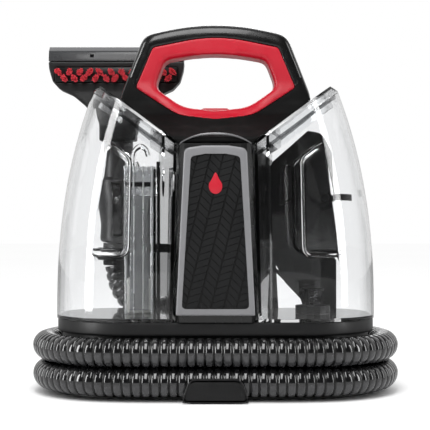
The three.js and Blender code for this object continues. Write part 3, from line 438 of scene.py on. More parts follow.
def relax(obj, iterations, weight=None):
    mesh = obj.data
    count = len(mesh.vertices)
    places = np.empty(count * 3)
    mesh.vertices.foreach_get("co", places)
    places = places.reshape(-1, 3)
    edges = np.empty(len(mesh.edges) * 2, dtype=np.int64)
    mesh.edges.foreach_get("vertices", edges)
    a, b = edges[0::2], edges[1::2]
    degree = np.bincount(a, minlength=count) + np.bincount(b, minlength=count)
    pull = np.full(count, 0.5) if weight is None else 0.5 * weight(places / MM)
    for _ in range(iterations):
        sums = np.empty_like(places)
        for k in range(3):
            sums[:, k] = np.bincount(a, places[b, k], count) + np.bincount(b, places[a, k], count)
        places += (sums / degree[:, None] - places) * pull[:, None]
    mesh.vertices.foreach_set("co", places.reshape(-1))
    mesh.update()


def bevel(obj, width, segments=2, angle=35):
    modifier = obj.modifiers.new("edge", "BEVEL")
    modifier.width = width * MM
    modifier.segments = segments
    modifier.limit_method = "ANGLE"
    modifier.angle_limit = math.radians(angle)
    modifier.use_clamp_overlap = True
    return settle(obj)


def tidy_faces(obj):
    with edited(obj.data) as made:
        bmesh.ops.remove_doubles(made, verts=made.verts, dist=1e-6)
        bmesh.ops.dissolve_limit(
            made, angle_limit=math.radians(1), verts=made.verts, edges=made.edges
        )


def shade(obj, angle=32):
    obj.data.shade_smooth()
    limit = math.radians(angle)
    with edited(obj.data) as made:
        for edge in made.edges:
            sharp = len(edge.link_faces) == 2 and edge.calc_face_angle(0) > limit
            edge.smooth = not sharp


def dress(obj, material, body, replaces=(), angle=32):
    obj.data.materials.clear()
    obj.data.materials.append(material)
    shade(obj, angle)
    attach(obj, body)
    if replaces:
        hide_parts(*([replaces] if isinstance(replaces, str) else replaces))
    return obj


def body_of(node):
    return next(b for b, nodes in frame["record"]["behaviour"]["bodies"].items() if node in nodes)


def refine(node, width, material, segments=2):
    """The CAD solid again, with its edges rounded."""
    obj = twin(frame["nodes"][node], node + "_shape")
    for key in list(obj.keys()):
        del obj[key]
    obj.parent = None
    tidy_faces(obj)
    bevel(obj, width, segments)
    return dress(obj, material, body_of(node), node)


# ------ hose
HOSE_START = math.radians(150)
CLIMB_FROM, CLIMB_OVER = 76.0, 156.0
BEND_R = 48.0
HOSE_TOP = 118.0
PITCH = 8.3


def hose_corner(sx, sy, start, end, steps, z):
    cx, cy = sx * (HOSE_HALF_X - HOSE_CORNER), sy * (HOSE_HALF_Y - HOSE_CORNER)
    angles = [start + (end - start) * i / steps for i in range(steps + 1)]
    return [(cx + HOSE_CORNER * math.cos(a), cy + HOSE_CORNER * math.sin(a), z) for a in angles]


def hose_lap(start, z):
    quarter = math.pi / 2
    return [
        *hose_corner(-1, 1, start, start + 0.02, 1, z),
        *hose_corner(-1, 1, start + 0.13, math.pi, 2, z),
        *hose_corner(-1, -1, math.pi * 1.02, 3 * quarter, 3, z),
        (-27, -HOSE_HALF_Y, z),
        (27, -HOSE_HALF_Y, z),
        *hose_corner(1, -1, -quarter, -0.02 * math.pi, 3, z),
        *hose_corner(1, 1, 0, quarter, 3, z),
    ]


def climb(x, z):
    return z + ROW_STEP * (CLIMB_FROM - x) / CLIMB_OVER


def hose_route():
    high = HOSE_LOW_Z + ROW_STEP
    tilt = math.atan(ROW_STEP / CLIMB_OVER)
    cx = WAND_X + BEND_R
    start_x = cx - BEND_R * math.sin(tilt)
    cz = climb(start_x, high) + BEND_R * math.cos(tilt)
    bend = []
    for i in range(4):
        angle = -math.pi / 2 - tilt - (math.pi / 2 - tilt) * i / 3
        bend.append((cx + BEND_R * math.cos(angle), HOSE_HALF_Y, cz + BEND_R * math.sin(angle)))
    return [
        *hose_lap(HOSE_START, HOSE_LOW_Z),
        *[(x, HOSE_HALF_Y, climb(x, HOSE_LOW_Z)) for x in (30, -25)],
        *hose_lap(math.pi / 2, high),
        *[(x, HOSE_HALF_Y, climb(x, high)) for x in (30, -15)],
        *bend,
        (WAND_X, HOSE_HALF_Y, HOSE_TOP),
    ]


def smooth_curve(points, per_span):
    """A centripetal Catmull-Rom curve through the points, as the CAD source draws its tubes."""
    pts = [Vector(p) for p in points]
    first = pts[0] * 2 - pts[1]
    last = pts[-1] * 2 - pts[-2]
    ends = [first, *pts, last]
    out = []
    for i in range(1, len(ends) - 2):
        p0, p1, p2, p3 = ends[i - 1 : i + 3]
        d0, d1, d2 = [max((b - a).length ** 0.5, 1e-4) for a, b in ((p0, p1), (p1, p2), (p2, p3))]
        m1 = (p1 - p0) / d0 - (p2 - p0) / (d0 + d1) + (p2 - p1) / d1
        m2 = (p2 - p1) / d1 - (p3 - p1) / (d1 + d2) + (p3 - p2) / d2
        m1, m2 = m1 * d1, m2 * d1
        for k in range(per_span):
            t = k / per_span
            a = 2 * t**3 - 3 * t**2 + 1
            b = t**3 - 2 * t**2 + t
            c = -2 * t**3 + 3 * t**2
            d = t**3 - t**2
            out.append(p1 * a + m1 * b + p2 * c + m2 * d)
    out.append(pts[-1])
    return out


def even_steps(points, step):
    """The curve's points at even distances, and its length."""
    lengths = [0.0]
    for a, b in zip(points, points[1:]):
        lengths.append(lengths[-1] + (b - a).length)
    count = max(2, round(lengths[-1] / step))
    table = np.array([list(p) for p in points])
    at = np.linspace(0, lengths[-1], count + 1)
    return np.stack([np.interp(at, lengths, table[:, k]) for k in range(3)], axis=1), lengths[-1]


def relax_path(path, rounds):
    path = path.copy()
    for _ in range(rounds):
        path[1:-1] += 0.5 * ((path[:-2] + path[2:]) / 2 - path[1:-1])
    return path


def frames_along(path, up):
    """A normal and a binormal for each point, carried along without twist."""
    tangents = np.gradient(path, axis=0)
    tangents /= np.linalg.norm(tangents, axis=1)[:, None]
    normal = Vector(up)
    normals, binormals = [], []
    for t in tangents:
        tangent = Vector(t)
        normal = (normal - tangent * normal.dot(tangent)).normalized()
        normals.append(normal.copy())
        binormals.append(tangent.cross(normal))
    return normals, binormals


def ring_round(centre, normal, binormal, radius, sides):
    ring = []
    for i in range(sides):
        angle = 2 * math.pi * i / sides
        side = normal * math.cos(angle) + binormal * math.sin(angle)
        ring.append(tuple(Vector(centre) + side * radius))
    return ring


RIB_DEPTH, RIB_SHARPNESS = 2.1, 3.2
RINGS_PER_RIB, SMOOTHINGS, HOSE_SIDES = 14, 180, 32
CUFF_RINGS = [
    (4, 118.3), (14.4, 118.3), (15.2, 118.8), (15.5, 119.8), (15.5, 122.4), (15.2, 123.3),
    (14.4, 123.7), (4, 123.7), (4, 118.3),
]


def make_hose():
    path, length = even_steps(smooth_curve(hose_route(), 24), PITCH / RINGS_PER_RIB)
    path = relax_path(path, SMOOTHINGS)
    normals, binormals = frames_along(path, (0, 0, 1))
    sides = HOSE_SIDES
    rings, wraps = [], []
    for k, centre in enumerate(path):
        along = k * length / (len(path) - 1) / PITCH
        away = abs(along % 1.0 - 0.5) * 2
        radius = HOSE_R - RIB_DEPTH * away**RIB_SHARPNESS
        rings.append(ring_round(centre, normals[k], binormals[k], radius, sides))
        wraps.append([(math.cos(2 * math.pi * i / sides), along) for i in range(sides)])
    hose = skin("hose_tube", rings)
    hose.data.materials.append(HOSE)
    layer = hose.data.uv_layers.new(name="wrap")
    for polygon in hose.data.polygons:
        ids = [hose.data.loops[i].vertex_index for i in polygon.loop_indices]
        for loop, v in zip(polygon.loop_indices, ids):
            row, col = divmod(v, sides)
            layer.data[loop].uv = wraps[row][col]
    hose.data.shade_smooth()
    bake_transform(hose)
    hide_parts("vacuum_hose")
    points = [tuple(p * MM) for p in path[::10]]
    if tuple(points[-1]) != tuple(path[-1] * MM):
        points.append(tuple(path[-1] * MM))
    cuff = turned("cuff_ring", CUFF_RINGS, WAND_X, WAND_Y, 48)
    dress(cuff, RUBBER, "wand", "hose_cuff")


make_hose()


# ------ carry handle
HOUSING = symmetric([
    (0, 361.4, 200), (70, 347, 14), (93.5, 286, 4), (91, SLOPE_Z + SLOPE * (91 - SLOPE_X), 1.5),
    (SLOPE_X, SLOPE_Z, 1),
])
RING_OUTER = symmetric([(0, 346.4, 150), (61, 334, 5), (77.6, 294.8, 3), (36, 267, 40), (0, 262.5, 60)])
RING_INNER = symmetric([(0, 329.4, 150), (49, 321.5, 6), (59, 295, 7), (32, 276, 40), (0, 271, 60)])
SIDE = [
    (-12, 361, 3), (-19, 352, 6), (-20, 300, 30), (-24, 280, 12), (-34, 268, 10), (-56, 256, 20),
    (-86, 243, 1.5), (-86, 237.8, 0), (76, 237.8, 0), (76, 243, 1.5), (52, 256, 20), (33, 268, 10),
    (24, 280, 12), (20, 300, 30), (19, 352, 6), (12, 361, 3),
]
# The apron of the handle is matt below these heights, the second where it faces up.
APRON_TOP, APRON_SLOPE_TOP = 268, 305
BUTTON_X, BUTTON_Y, BUTTON_TOP, BUTTON_SEAT = 16.0, 8.0, 276.0, 262.0


def round_box(half_x, half_y, radius, steps=8):
    signs = ((-1, -1), (1, -1), (1, 1), (-1, 1))
    return rounded([(sx * half_x, sy * half_y, radius) for sx, sy in signs], steps)


def side_solid(name):
    return prism(name, rounded(SIDE, 8), "x", -110, 110)


def near_outline(outline, reach):
    """How close a point is to an outline in the front view: 1 on it, falling to 0 at the reach."""
    line = np.array([(p[0], p[1]) for p in outline])
    ends = np.roll(line, -1, axis=0)

    def weight(places):
        best = np.full(len(places), 1e9)
        flat = places[:, [0, 2]]
        for a, b in zip(line, ends):
            span = b - a
            t = np.clip(((flat - a) @ span) / max(1e-9, span @ span), 0, 1)
            best = np.minimum(best, np.linalg.norm(flat - (a + t[:, None] * span), axis=1))
        return np.clip(1 - best / reach, 0, 1)

    return weight


def make_handle():
    outline = rounded(HOUSING, 10)
    ring_outline = rounded(RING_OUTER, 10)
    inner_outline = rounded(RING_INNER, 10)
    hole = inset(ring_outline, -GAP)
    shape = both(prism("handle_shape", outline, "y", -100, 100), side_solid("side"))
    minus(shape, prism("hole", hole, "y", -110, 110))
    minus(shape, prism("slot", round_box(BUTTON_X + 0.7, BUTTON_Y + 0.7, 7.8), "z", 240, 300))
    soften(shape, 1.15, 7)
    edge = near_outline(outline, 13)
    relax(shape, 110, lambda places: edge(places) * (places[:, 2] > 284))
    for node, near, far in (("handle_front_half", -120, -0.25), ("handle_rear_half", 0.25, 120)):
        obj = twin(shape, node + "_shell")
        both(obj, block("half", -120, 120, near, far, 200, 400))
        dress(obj, BLACK_GLOSS, "machine", node, 60)
        obj.data.materials.append(MATT)
        for face in obj.data.polygons:
            height = face.center.z / MM
            apron = height < APRON_TOP or (height < APRON_SLOPE_TOP and face.normal.z > 0.12)
            if apron and abs(face.normal.x) < 0.7:
                face.material_index = 1
    bpy.data.objects.remove(shape)

    ring = both(prism("grip_ring_shape", ring_outline, "y", -100, 100), side_solid("side"))
    minus(ring, prism("opening", inner_outline, "y", -110, 110))
    minus(ring, prism("slot", round_box(BUTTON_X + 0.5, BUTTON_Y + 0.5, 7.8), "z", 258, 280))
    soften(ring, 0.95, 4)
    around = near_outline(inner_outline, 11)
    button_half = 19

    def away_from_button(places):
        return around(places) * np.where(np.abs(places[:, 0]) > button_half, 1, 0.25)

    relax(ring, 90, away_from_button)
    dress(ring, RED, "machine", "grip_ring", 60)

    top = round_box(BUTTON_X - 3, BUTTON_Y - 2.6, 5)
    wide = round_box(BUTTON_X, BUTTON_Y, 7.4)
    levels = [
        (wide, BUTTON_SEAT), (wide, 273.6), (inset(wide, 0.5), 274.6), (inset(wide, 1.6), 275.1),
        (top, 275.3), (inset(top, 0.5), 275.9), (inset(top, 1.3), BUTTON_TOP),
    ]
    button = skin("power_button_cap", [[(p[0], p[1], z) for p in level] for level, z in levels])
    plus(button, block("plunger", -3.6, 3.6, -3.6, 3.6, 252.3, 265))
    dress(button, RED, "power_button", "power_button")


make_handle()


# ------ column and front panel
def column_half(y, z):
    back = (y - COLUMN_FRONT) / (66 - COLUMN_FRONT)
    up = (z - DECK_TOP) / (COLUMN_TOP - DECK_TOP)
    front = 37.5 - 4.5 * up
    return front + (54 - front) * min(1, back)


def arched(bottom_z, bottom_half, shoulder_z, top_half, apex_z, bottom_radius, top_radius):
    return rounded(
        [
            (-bottom_half, bottom_z, bottom_radius), (bottom_half, bottom_z, bottom_radius),
            (top_half, shoulder_z, top_radius), (top_half * 0.4, apex_z, 4),
            (-top_half * 0.4, apex_z, 4), (-top_half, shoulder_z, top_radius),
        ],
        10,
    )


def clip_to(polygon, outline):
    """The part of a small convex polygon that lies within a convex outline."""
    area = sum(p[0] * q[1] - q[0] * p[1] for p, q in zip(outline, outline[1:] + outline[:1]))
    sign = 1 if area > 0 else -1
    result = list(polygon)
    for a, b in zip(outline, outline[1:] + outline[:1]):
        if not result:
            return []
        if math.hypot(b[0] - a[0], b[1] - a[1]) < 1e-6:
            continue
        kept = []
        side = [sign * ((b[0] - a[0]) * (p[1] - a[1]) - (b[1] - a[1]) * (p[0] - a[0])) for p in result]
        for i, p in enumerate(result):
            q, s, t = result[(i + 1) % len(result)], side[i], side[(i + 1) % len(result)]
            if s >= 0:
                kept.append(p)
            if (s >= 0) != (t >= 0):
                k = s / (s - t)
                kept.append((p[0] + (q[0] - p[0]) * k, p[1] + (q[1] - p[1]) * k))
        result = kept
    return result


def shrink(polygon, distance):
    cx = sum(p[0] for p in polygon) / len(polygon)
    cy = sum(p[1] for p in polygon) / len(polygon)
    out = []
    for p in polygon:
        reach = math.hypot(p[0] - cx, p[1] - cy)
        k = max(0.2, 1 - distance / max(reach, 1e-6))
        out.append((cx + (p[0] - cx) * k, cy + (p[1] - cy) * k))
    return out


def add_frustum(vertices, faces, low, high):
    """Adds a closed solid between two rings of points."""
    start, count = len(vertices), len(low)
    vertices += [*low, *high]
    faces.append(tuple(start + i for i in range(count)))
    faces.append(tuple(start + count + i for i in reversed(range(count))))
    for i in range(count):
        j = (i + 1) % count
        faces.append((start + i, start + count + i, start + count + j, start + j))


def tread_bars(outline):
    """Rows of leaning bars that run up the panel in pairs, like the blocks of a tread."""
    lean, pivot_z = math.radians(14), 150
    first_z, width, height, step = 78, 11.4, 6.7, 6.6
    bars = []
    for column in range(-5, 6):
        for row in range(-4, 28):
            x0 = column * width
            z0 = first_z + row * height
            rise = step if column % 2 else -step
            x1, z1 = x0 + width, z0 + rise
            corners = [(x0, z0), (x1, z1), (x1, z1 + height), (x0, z0 + height)]
            if column % 2 == 0:
                corners = [(x, z + step) for x, z in corners]
            bar = []
            for x, z in corners:
                dz = z - pivot_z
                across = x * math.cos(lean) + dz * math.sin(lean)
                bar.append((across, pivot_z + dz * math.cos(lean) - x * math.sin(lean)))
            bars.append(bar)
    vertices, faces = [], []
    y_low, y_high = COLUMN_FRONT - 1.8, COLUMN_FRONT - 2.35
    for bar in bars:
        base = clip_to(shrink(bar, 0.55), outline)
        if len(base) < 3:
            continue
        area = abs(sum(p[0] * q[1] - q[0] * p[1] for p, q in zip(base, base[1:] + base[:1]))) / 2
        if area < 2:
            continue
        top = shrink(base, 0.35)
        low = [(x, y_low + 0.2, z) for x, z in base]
        add_frustum(vertices, faces, low, [(x, y_high, z) for x, z in top])
    return new_object("tread_bars", vertices, faces)


def upright(loops):
    """Rings from [outline in the front view, y]."""
    return [[(p[0], y, p[1]) for p in outline] for outline, y in loops]


def make_panel():
    outer = arched(78.7, 36.6, 233, 28.9, 235.5, 1.5, 7)
    inner = arched(83.5, 32.6, 226.5, 24, 229.2, 6, 6)
    y0, y1 = COLUMN_FRONT - 3.4, COLUMN_FRONT - GAP
    loops = [(outer, y1), (outer, y0 + 1.3), (inset(outer, 0.35), y0 + 0.6)]
    loops += [(inset(outer, 1.2), y0 + 0.15), (inset(outer, 2.0), y0)]
    loops += [(inset(inner, -1.4), y0 + 0.1), (inset(inner, -0.6), y0 + 0.5)]
    loops += [(inset(inner, -0.1), y0 + 1.2), (inner, y0 + 1.8), (inner, y1)]
    bezel = skin("panel_bezel_frame", upright(loops), closed=True)
    dress(bezel, SILVER, "machine", "panel_bezel", 50)

    face = arched(83.9, 32.2, 226.1, 23.6, 228.8, 6, 6)
    plate = prism("panel_plate", face, "y", COLUMN_FRONT - 1.8, COLUMN_FRONT - GAP)
    dress(plate, BLACK_DEEP, "machine", "panel_insert")
    dress(tread_bars(inset(face, 0.8)), TREAD, "machine", (), 20)

    drop = []
    for i in range(40):
        angle = 2 * math.pi * i / 40
        rise = max(0, math.cos(angle))
        half_width, half_height = 6.2 * (1 - 0.25 * rise**3), 7.2 * (1 + 0.75 * rise**6)
        drop.append((half_width * math.sin(angle), 198 + half_height * math.cos(angle)))
    y = COLUMN_FRONT - 2.3
    loops = [(drop, y), (drop, y - 0.35), (inset(drop, 0.5), y - 0.6)]
    dress(skin("drop_badge", upright(loops)), RED, "machine", ())

    # The hood's rim, an arch over the panel, in light grey metal: a painted highlight along its edge.
    arch = []
    for i in range(33):
        t = -1 + i / 16
        arch.append((33.2 * t, -87.2 + 1.4 * abs(t) ** 3, 246.4 - 9.0 * abs(t) ** 2.6))
    path = np.array(arch)
    normals, binormals = frames_along(path, (0, 0, 1))
    rings = []
    for k, centre in enumerate(path):
        radius = 0.5 + 0.75 * (1 - abs(k - 16) / 16) ** 0.5
        rings.append(ring_round(centre, normals[k], binormals[k], radius, 10))
    dress(skin("hood_rim", rings), PAINTED_HIGHLIGHT, "machine", (), 60)


def make_front_clip():
    """The moulded face of the hose clip: a rounded rim round a shallow, tilted thumb panel."""
    outline = rounded([(-31, 1.2, 5), (31, 1.2, 5), (24, 22, 9), (-24, 22, 9)], 8)
    y = -HOSE_HALF_Y - HOSE_R - 4.0
    loops = [(outline, y + 2.6), (outline, y + 0.5), (inset(outline, 0.6), y), (inset(outline, 2.0), y)]
    loops += [(inset(outline, 2.6), y + 0.7), (inset(outline, 3.4), y + 1.2)]
    dress(skin("front_clip_face", upright(loops)), BLACK_SATIN, "machine", (), 50)


make_panel()
refine("column_front_cover", 1.2, BLACK_GLOSS, 3)
for node in ("column_rear_cover", "base_tray"):
    refine(node, 1.0, BLACK_SATIN)
make_front_clip()
for node in ("wand_clip", "cord_hook"):
    refine(node, 0.8, BLACK_SATIN)
refine("cord_gland", 0.6, RUBBER)
refine("hose_port", 0.5, BLACK_SATIN)
refine("spray_trigger", 0.9, BLACK_GLOSS)
refine("head_latch", 0.7, BLACK_GLOSS)


# ------ deck
def rectangle_ring(half_x, half_y, radius, z, steps=16):
    points = []
    for sx, sy, start in ((1, -1, -90), (1, 1, 0), (-1, 1, 90), (-1, -1, 180)):
        for i in range(steps + 1):
            angle = math.radians(start + 90 * i / steps)
            x = sx * (half_x - radius) + radius * math.cos(angle)
            points.append((x, sy * (half_y - radius) + radius * math.sin(angle), z))
    return points


def make_deck():
    levels = [(3.0, 59.3), (0.8, 59.5), (0.2, 60.2), (0, 61.5), (0, 70.2), (0.35, 71.3), (1.3, 72.0)]
    outer = skin("deck_plate", [rectangle_ring(153.4 - d, 88 - d, 78 - d, z) for d, z in levels])
    minus(outer, skin("under", [rectangle_ring(150.4, 85, 75, z) for z in (50, 69)]))
    minus(outer, block("clear", -200, 200, 80, 200, 0, 100))
    plus(outer, block("wall", -100, 100, 77, 80, 59.3, 71))
    for x, y in ((125, 24), (-125, 24), (-125, -24), (125, -24)):
        plus(outer, rod("post", x, y, 5, 9.3, 70, 24))
        minus(outer, rod("bore", x, y, 2.5, 8, 27, 16))
    for x, y, r in ((0, 12, 18), (-37, 53, 11.6), (95, -10, 17)):
        minus(outer, rod("hole", x, y, r, 60, 80, 48))
    dress(outer, BLACK_SATIN, "machine", "deck")


make_deck()


# ------ tanks
TANK_BOTTOM = DECK_TOP + GAP
LID_THICK = 9.0
RECESS_FRONT, RECESS_REAR = -78, 53
LEVELS = [TANK_BOTTOM + (306 - TANK_BOTTOM) * (i / 34) for i in range(35)]


def tank_half(z):
    return 154 - 34.5 * max(0, (z - DECK_TOP) / 217) ** 2.4


def tank_ring(z, distance, steps=18):
    lean = max(0, (z - DECK_TOP) / 217) ** 2
    half = tank_half(z) - distance
    front, rear = -88 + 6 * lean + distance, 66 - 3 * lean - distance

    def inner(y):
        return column_half(y, min(z, COLUMN_TOP)) + 2.2 + distance

    def radius_at(y, radius):
        return min(radius - 8 * lean - distance, half - inner(y) - 2)

    rf, rr = radius_at(front, 74), radius_at(rear, 60)
    points = [(inner(front), front, z)]
    for cx, cy, radius, start in ((half - rf, front + rf, rf, -90), (half - rr, rear - rr, rr, 0)):
        for i in range(steps + 1):
            angle = math.radians(start + 90 * i / steps)
            points.append((cx + radius * math.cos(angle), cy + radius * math.sin(angle), z))
    points.append((inner(rear), rear, z))
    return points


def tank_solid(name, distance, bottom=TANK_BOTTOM):
    return skin(name, [tank_ring(z, distance) for z in [bottom, *LEVELS[1:]]])


def slope_slab(name, low, high, x_end=200):
    def at(x, height):
        return (x, SLOPE_Z + SLOPE * (x - SLOPE_X) + height / 0.8)

    return prism(name, [at(0, low), at(x_end, low), at(x_end, high), at(0, high)], "y", -150, 150)


def recess_cutters(grow):
    low, high = 134 - grow, 252 + grow * 1.4
    outline = rounded(
        [
            (82 - grow, low, 9 + grow), (80 - grow, 223 + grow / 2, 9 + grow), (118, high, 4),
            (160, high, 0), (160, low, 0),
        ],
        8,
    )
    cutters = []
    for a, b in ((-130, RECESS_FRONT + grow), (RECESS_REAR - grow, 110)):
        cutter = prism("recess", outline, "y", a, b)
        bevel(cutter, 5.0, 4, 50)
        cutters.append(cutter)
    return cutters


def mirror(obj):
    obj.data.transform(Matrix.Diagonal((-1, 1, 1, 1)))
    obj.data.flip_normals()
    return obj


def make_tank_wall(name):
    outer = minus(tank_solid(name, 0), *recess_cutters(0))
    inner = minus(tank_solid("inside", WALL, TANK_BOTTOM + 3), *recess_cutters(WALL))
    wall = minus(outer, inner)
    return minus(wall, slope_slab("open", -LID_THICK - GAP, 200))


def lid_cap(name, drop):
    """What lies under the lid's crown, which falls away towards the side of the machine."""
    outline = [(0, 0), (200, 0), (200, 266 - drop), (110.5, 293 - drop), (0, 325 - drop)]
    return prism(name, outline, "y", -150, 150)


def make_tank_lid(name):
    """A hollow cover with three grooves round its skirt, and a ring that plugs the tank's mouth."""
    cover = both(tank_solid(name, 0), slope_slab("slab", -LID_THICK, -0.6), lid_cap("cap", 0))
    hollow = tank_solid("hollow", 2.2, 60)
    both(hollow, slope_slab("slab", -LID_THICK - 1, -2.8), lid_cap("cap", 2.6))
    minus(cover, hollow)
    for height in (-2.8, -4.9, -7.0):
        groove = minus(tank_solid("groove", -1), tank_solid("keep", 1.0))
        minus(cover, both(groove, slope_slab("slab", height, height + 0.9)))
    plug = minus(tank_solid("plug", 10), tank_solid("bore", 12.4, 60))
    both(plug, slope_slab("slab", -LID_THICK - 9, -1.5))
    return plus(cover, both(plug, lid_cap("cap", 1)))


def make_seal(name):
    seal = minus(tank_solid(name, WALL + 0.5), tank_solid("hollow", 9.5, 60))
    return both(seal, slope_slab("slab", -LID_THICK - 3.5, -LID_THICK - GAP))


def port_cutter(y, z, radius):
    return prism("port", circle(y, z, radius, 40), "x", -70, -30)


def make_tanks():
    right = make_tank_wall("solution_tank_wall")
    left = mirror(twin(right, "recovery_tank_wall"))
    minus(left, port_cutter(12, 203, 14), port_cutter(53, 212, 9))
    minus(right, rod("hole", 95, -10, 15, 60, 80, 40))
    dress(left, CLEAR, "recovery_tank", "recovery_tank")
    dress(right, CLEAR, "solution_tank", "solution_tank")
    for body, flip in (("recovery_tank", True), ("solution_tank", False)):
        lid, seal = make_tank_lid(body + "_cover"), make_seal(body + "_gasket")
        if flip:
            mirror(lid)
            mirror(seal)
        dress(lid, CLEAR, body, body + "_lid")
        dress(seal, SMOKE, body, body.split("_")[0] + "_lid_seal")


make_tanks()


# ------ separator stack and float
STACK_X, STACK_Y, STACK_Z = (-90, -58), (-22, 18), (TANK_BOTTOM + 3 + GAP, 218)


def tube_along(name, points, radius, sides=20, step=1.0):
    path, _ = even_steps(smooth_curve(points, 12), step)
    normals, binormals = frames_along(path, (0.3, 1, 0.2))
    rings = [ring_round(c, n, b, radius, sides) for c, n, b in zip(path, normals, binormals)]
    return skin(name, rings)


def make_stack():
    (x0, x1), (y0, y1), (z0, z1) = STACK_X, STACK_Y, STACK_Z
    cx, cy = (x0 + x1) / 2, (y0 + y1) / 2

    def box_shape(name, half_x, half_y, radius, low, high):
        outline = round_box(half_x, half_y, radius)
        return prism(name, [(p[0] + cx, p[1] + cy) for p in outline], "z", low, high)

    def tube_shape(name, less, low, high):
        return box_shape(name, (x1 - x0) / 2 - less, (y1 - y0) / 2 - less, max(1, 4 - less), low, high)

    stack = minus(tube_shape("separator_tube", 0, z0, z1), tube_shape("bore", 2, z0 - 1, z1 - 2))
    for x in (-83, -74, -65):
        plus(stack, block("rib", x - 0.8, x + 0.8, y0 - 2, y0 + 1, z0, z1))
    for x in (-86, -75):
        minus(stack, block("mouth", x, x + 9, y0 - 3, y0 + 4, z0 + 4, z0 + 12))
    minus(stack, block("window", -62, -50, -10, 8, 190, 208))
    dress(stack, CLEAR, "recovery_tank", "separator_stack")

    # The ribs and the bar over them are frosted, lighter than the clear tube: painted highlights, the
    # bright lines down the stack's front.
    ribs = [(-87, 1.1), (-79, 0.8), (-70, 0.8), (-61.5, 1.3)]
    made = [rod("rib", x, y0 - r - 0.1, r, z0, z1 + 0.4, 16) for x, r in ribs]
    bar = block("bar", -88, -60, y0 - 1.2, y0 - 0.2, z1 - 4, z1)
    dress(plus(bar, *made), FROST, "recovery_tank", (), 50)

    core = box_shape("separator_core", 13.5, 17.4, 9, z0 + 3, 190)
    minus(core, box_shape("bore", 12.9, 16.8, 6, z0 + 1, 188))
    dress(core, GREY, "recovery_tank", ())
    for low, high in ((191, 198.6), (203.4, 214)):
        dress(tube_shape("separator_pad", 2.6, low, high), FROST, "recovery_tank", ())
    band = minus(tube_shape("separator_band", 2.5, 199, 203), tube_shape("bore", 3.4, 190, 210))
    dress(band, BLACK_SATIN, "recovery_tank", ())
    hook = [(-81, 217), (-81, 228), (-79, 235), (-73.5, 238.5), (-68, 235), (-66, 229)]
    cane = tube_along("vent_cane", [(x, -2, z) for x, z in hook], 2.6)
    dress(cane, CLEAR, "recovery_tank", (), 60)

    float_outline = round_box(12.4, 16.4, 4)
    rings = []
    for d, z in ((1.5, 75.9), (0.4, 76.5), (0, 77.6), (0, 108.3), (0.4, 109.4), (1.5, 110)):
        rings.append([(p[0] + cx, p[1] + cy, z) for p in inset(float_outline, d)])
    dress(skin("float_block", rings), WHITE, "float", "float")


make_stack()


# ------ bracket behind the clean tank
def make_bracket():
    outline = rounded(
        [
            (54.3, 222, 3), (96, 258, 3), (112, 256, 16), (122.5, 236, 24), (124.5, 170, 60),
            (126, 130, 30), (126, 72.4, 1), (92, 72.4, 1), (88, 84, 3), (72, 101, 8), (58, 128, 20),
            (54.3, 156, 3),
        ],
        8,
    )
    bracket = prism("cord_bracket_plate", outline, "y", 69, 77)
    minus(bracket, prism("bore", circle(114, 190, 4.4, 32), "y", 60, 90))
    leg = [(58.5, 72.4, 0.5), (65, 72.4, 0.5), (62.5, 120, 20), (61.5, 153, 2), (58, 158, 1)]
    plus(bracket, prism("leg", rounded(leg, 4), "y", 70.5, 75.5))
    plus(bracket, prism("strut", [(61.5, 112), (62.5, 116), (80, 101), (76, 98)], "y", 71.5, 74.5))
    bevel(bracket, 1.0, 2, 40)
    dress(bracket, BLACK_DEEP, "machine", "cord_bracket")
    # The raised rim of the cord store's slot.
    slot = []
    for i in range(13):
        angle = math.pi * i / 12
        slot.append((75 - 9 * math.cos(angle), 214 + 9 * math.sin(angle)))
    slot = rounded([(66, 180, 2), (84, 188, 2), *[(x, z, 0) for x, z in reversed(slot)]], 4)
    rim = prism("slot_rim", slot, "y", 66.9, 69.0)
    minus(rim, prism("inner", inset(slot, 1.4), "y", 60, 80))
    dress(rim, BLACK_GLOSS, "machine", ())


make_bracket()


# ------ wand
def make_wand():
    profile = [
        (0, 124), (21.6, 124), (22.6, 124.5), (23, 125.5), (23, 128.6), (22.6, 129.6), (21.4, 130.3),
        (12.4, 130.9), (11.2, 131.5), (11, 132.5), (11, 140.6), (11.8, 141.3), (17.4, 141.8),
        (19.2, 142.5), (20.2, 143.9), (20.5, 146), (20.0, 168), (20.0, 185), (20.5, 204), (20.2, 207.5),
        (19.2, 209.4), (17.4, 210.3), (16.9, 211), (16.6, 212.4), (16.6, 222), (16.2, 223), (16.2, 237),
        (16.6, 238), (16.6, 246.8), (16.0, 247.8), (12.5, 248), (11.5, 247.2), (11.5, 160), (9, 128),
        (0, 128),
    ]
    body = turned("wand_body", profile, WAND_X, WAND_Y, 64)
    minus(body, block("slot", WAND_X - 5.4, WAND_X + 5.4, WAND_Y - 30, WAND_Y - 8, 150, 206))
    minus(body, block("slot", WAND_X - 5.4, WAND_X + 5.4, WAND_Y + 8, WAND_Y + 30, 224.6, 235.4))
    dress(body, WAND_GREY, "wand", "wand_grip", 40)


HEAD = symmetric([
    (20, 248.6, 1), (21, 266, 12), (31, 283.5, 18), (46, 296, 12), (59, 301.8, 6), (66.5, 310, 6),
    (70, 322, 8), (71, 331, 0.6),
])
HEAD_SIDE = [
    (-20, 248, 0), (20, 248, 0), (20, 264, 10), (15, 284, 14), (13, 300, 10), (13, 340, 0),
    (-13, 340, 0), (-13, 300, 10), (-15, 284, 14), (-20, 264, 10),
]
NOZZLE = [
    (-13, 331.4, 0.4), (13, 331.4, 0.4), (11.6, 341, 6), (3, 347, 2.5), (-3, 347, 2.5), (-11.6, 341, 6),
]
# The edges of the lips are lighter above this height: a painted highlight along their top.
LIP_EDGE = 343.2


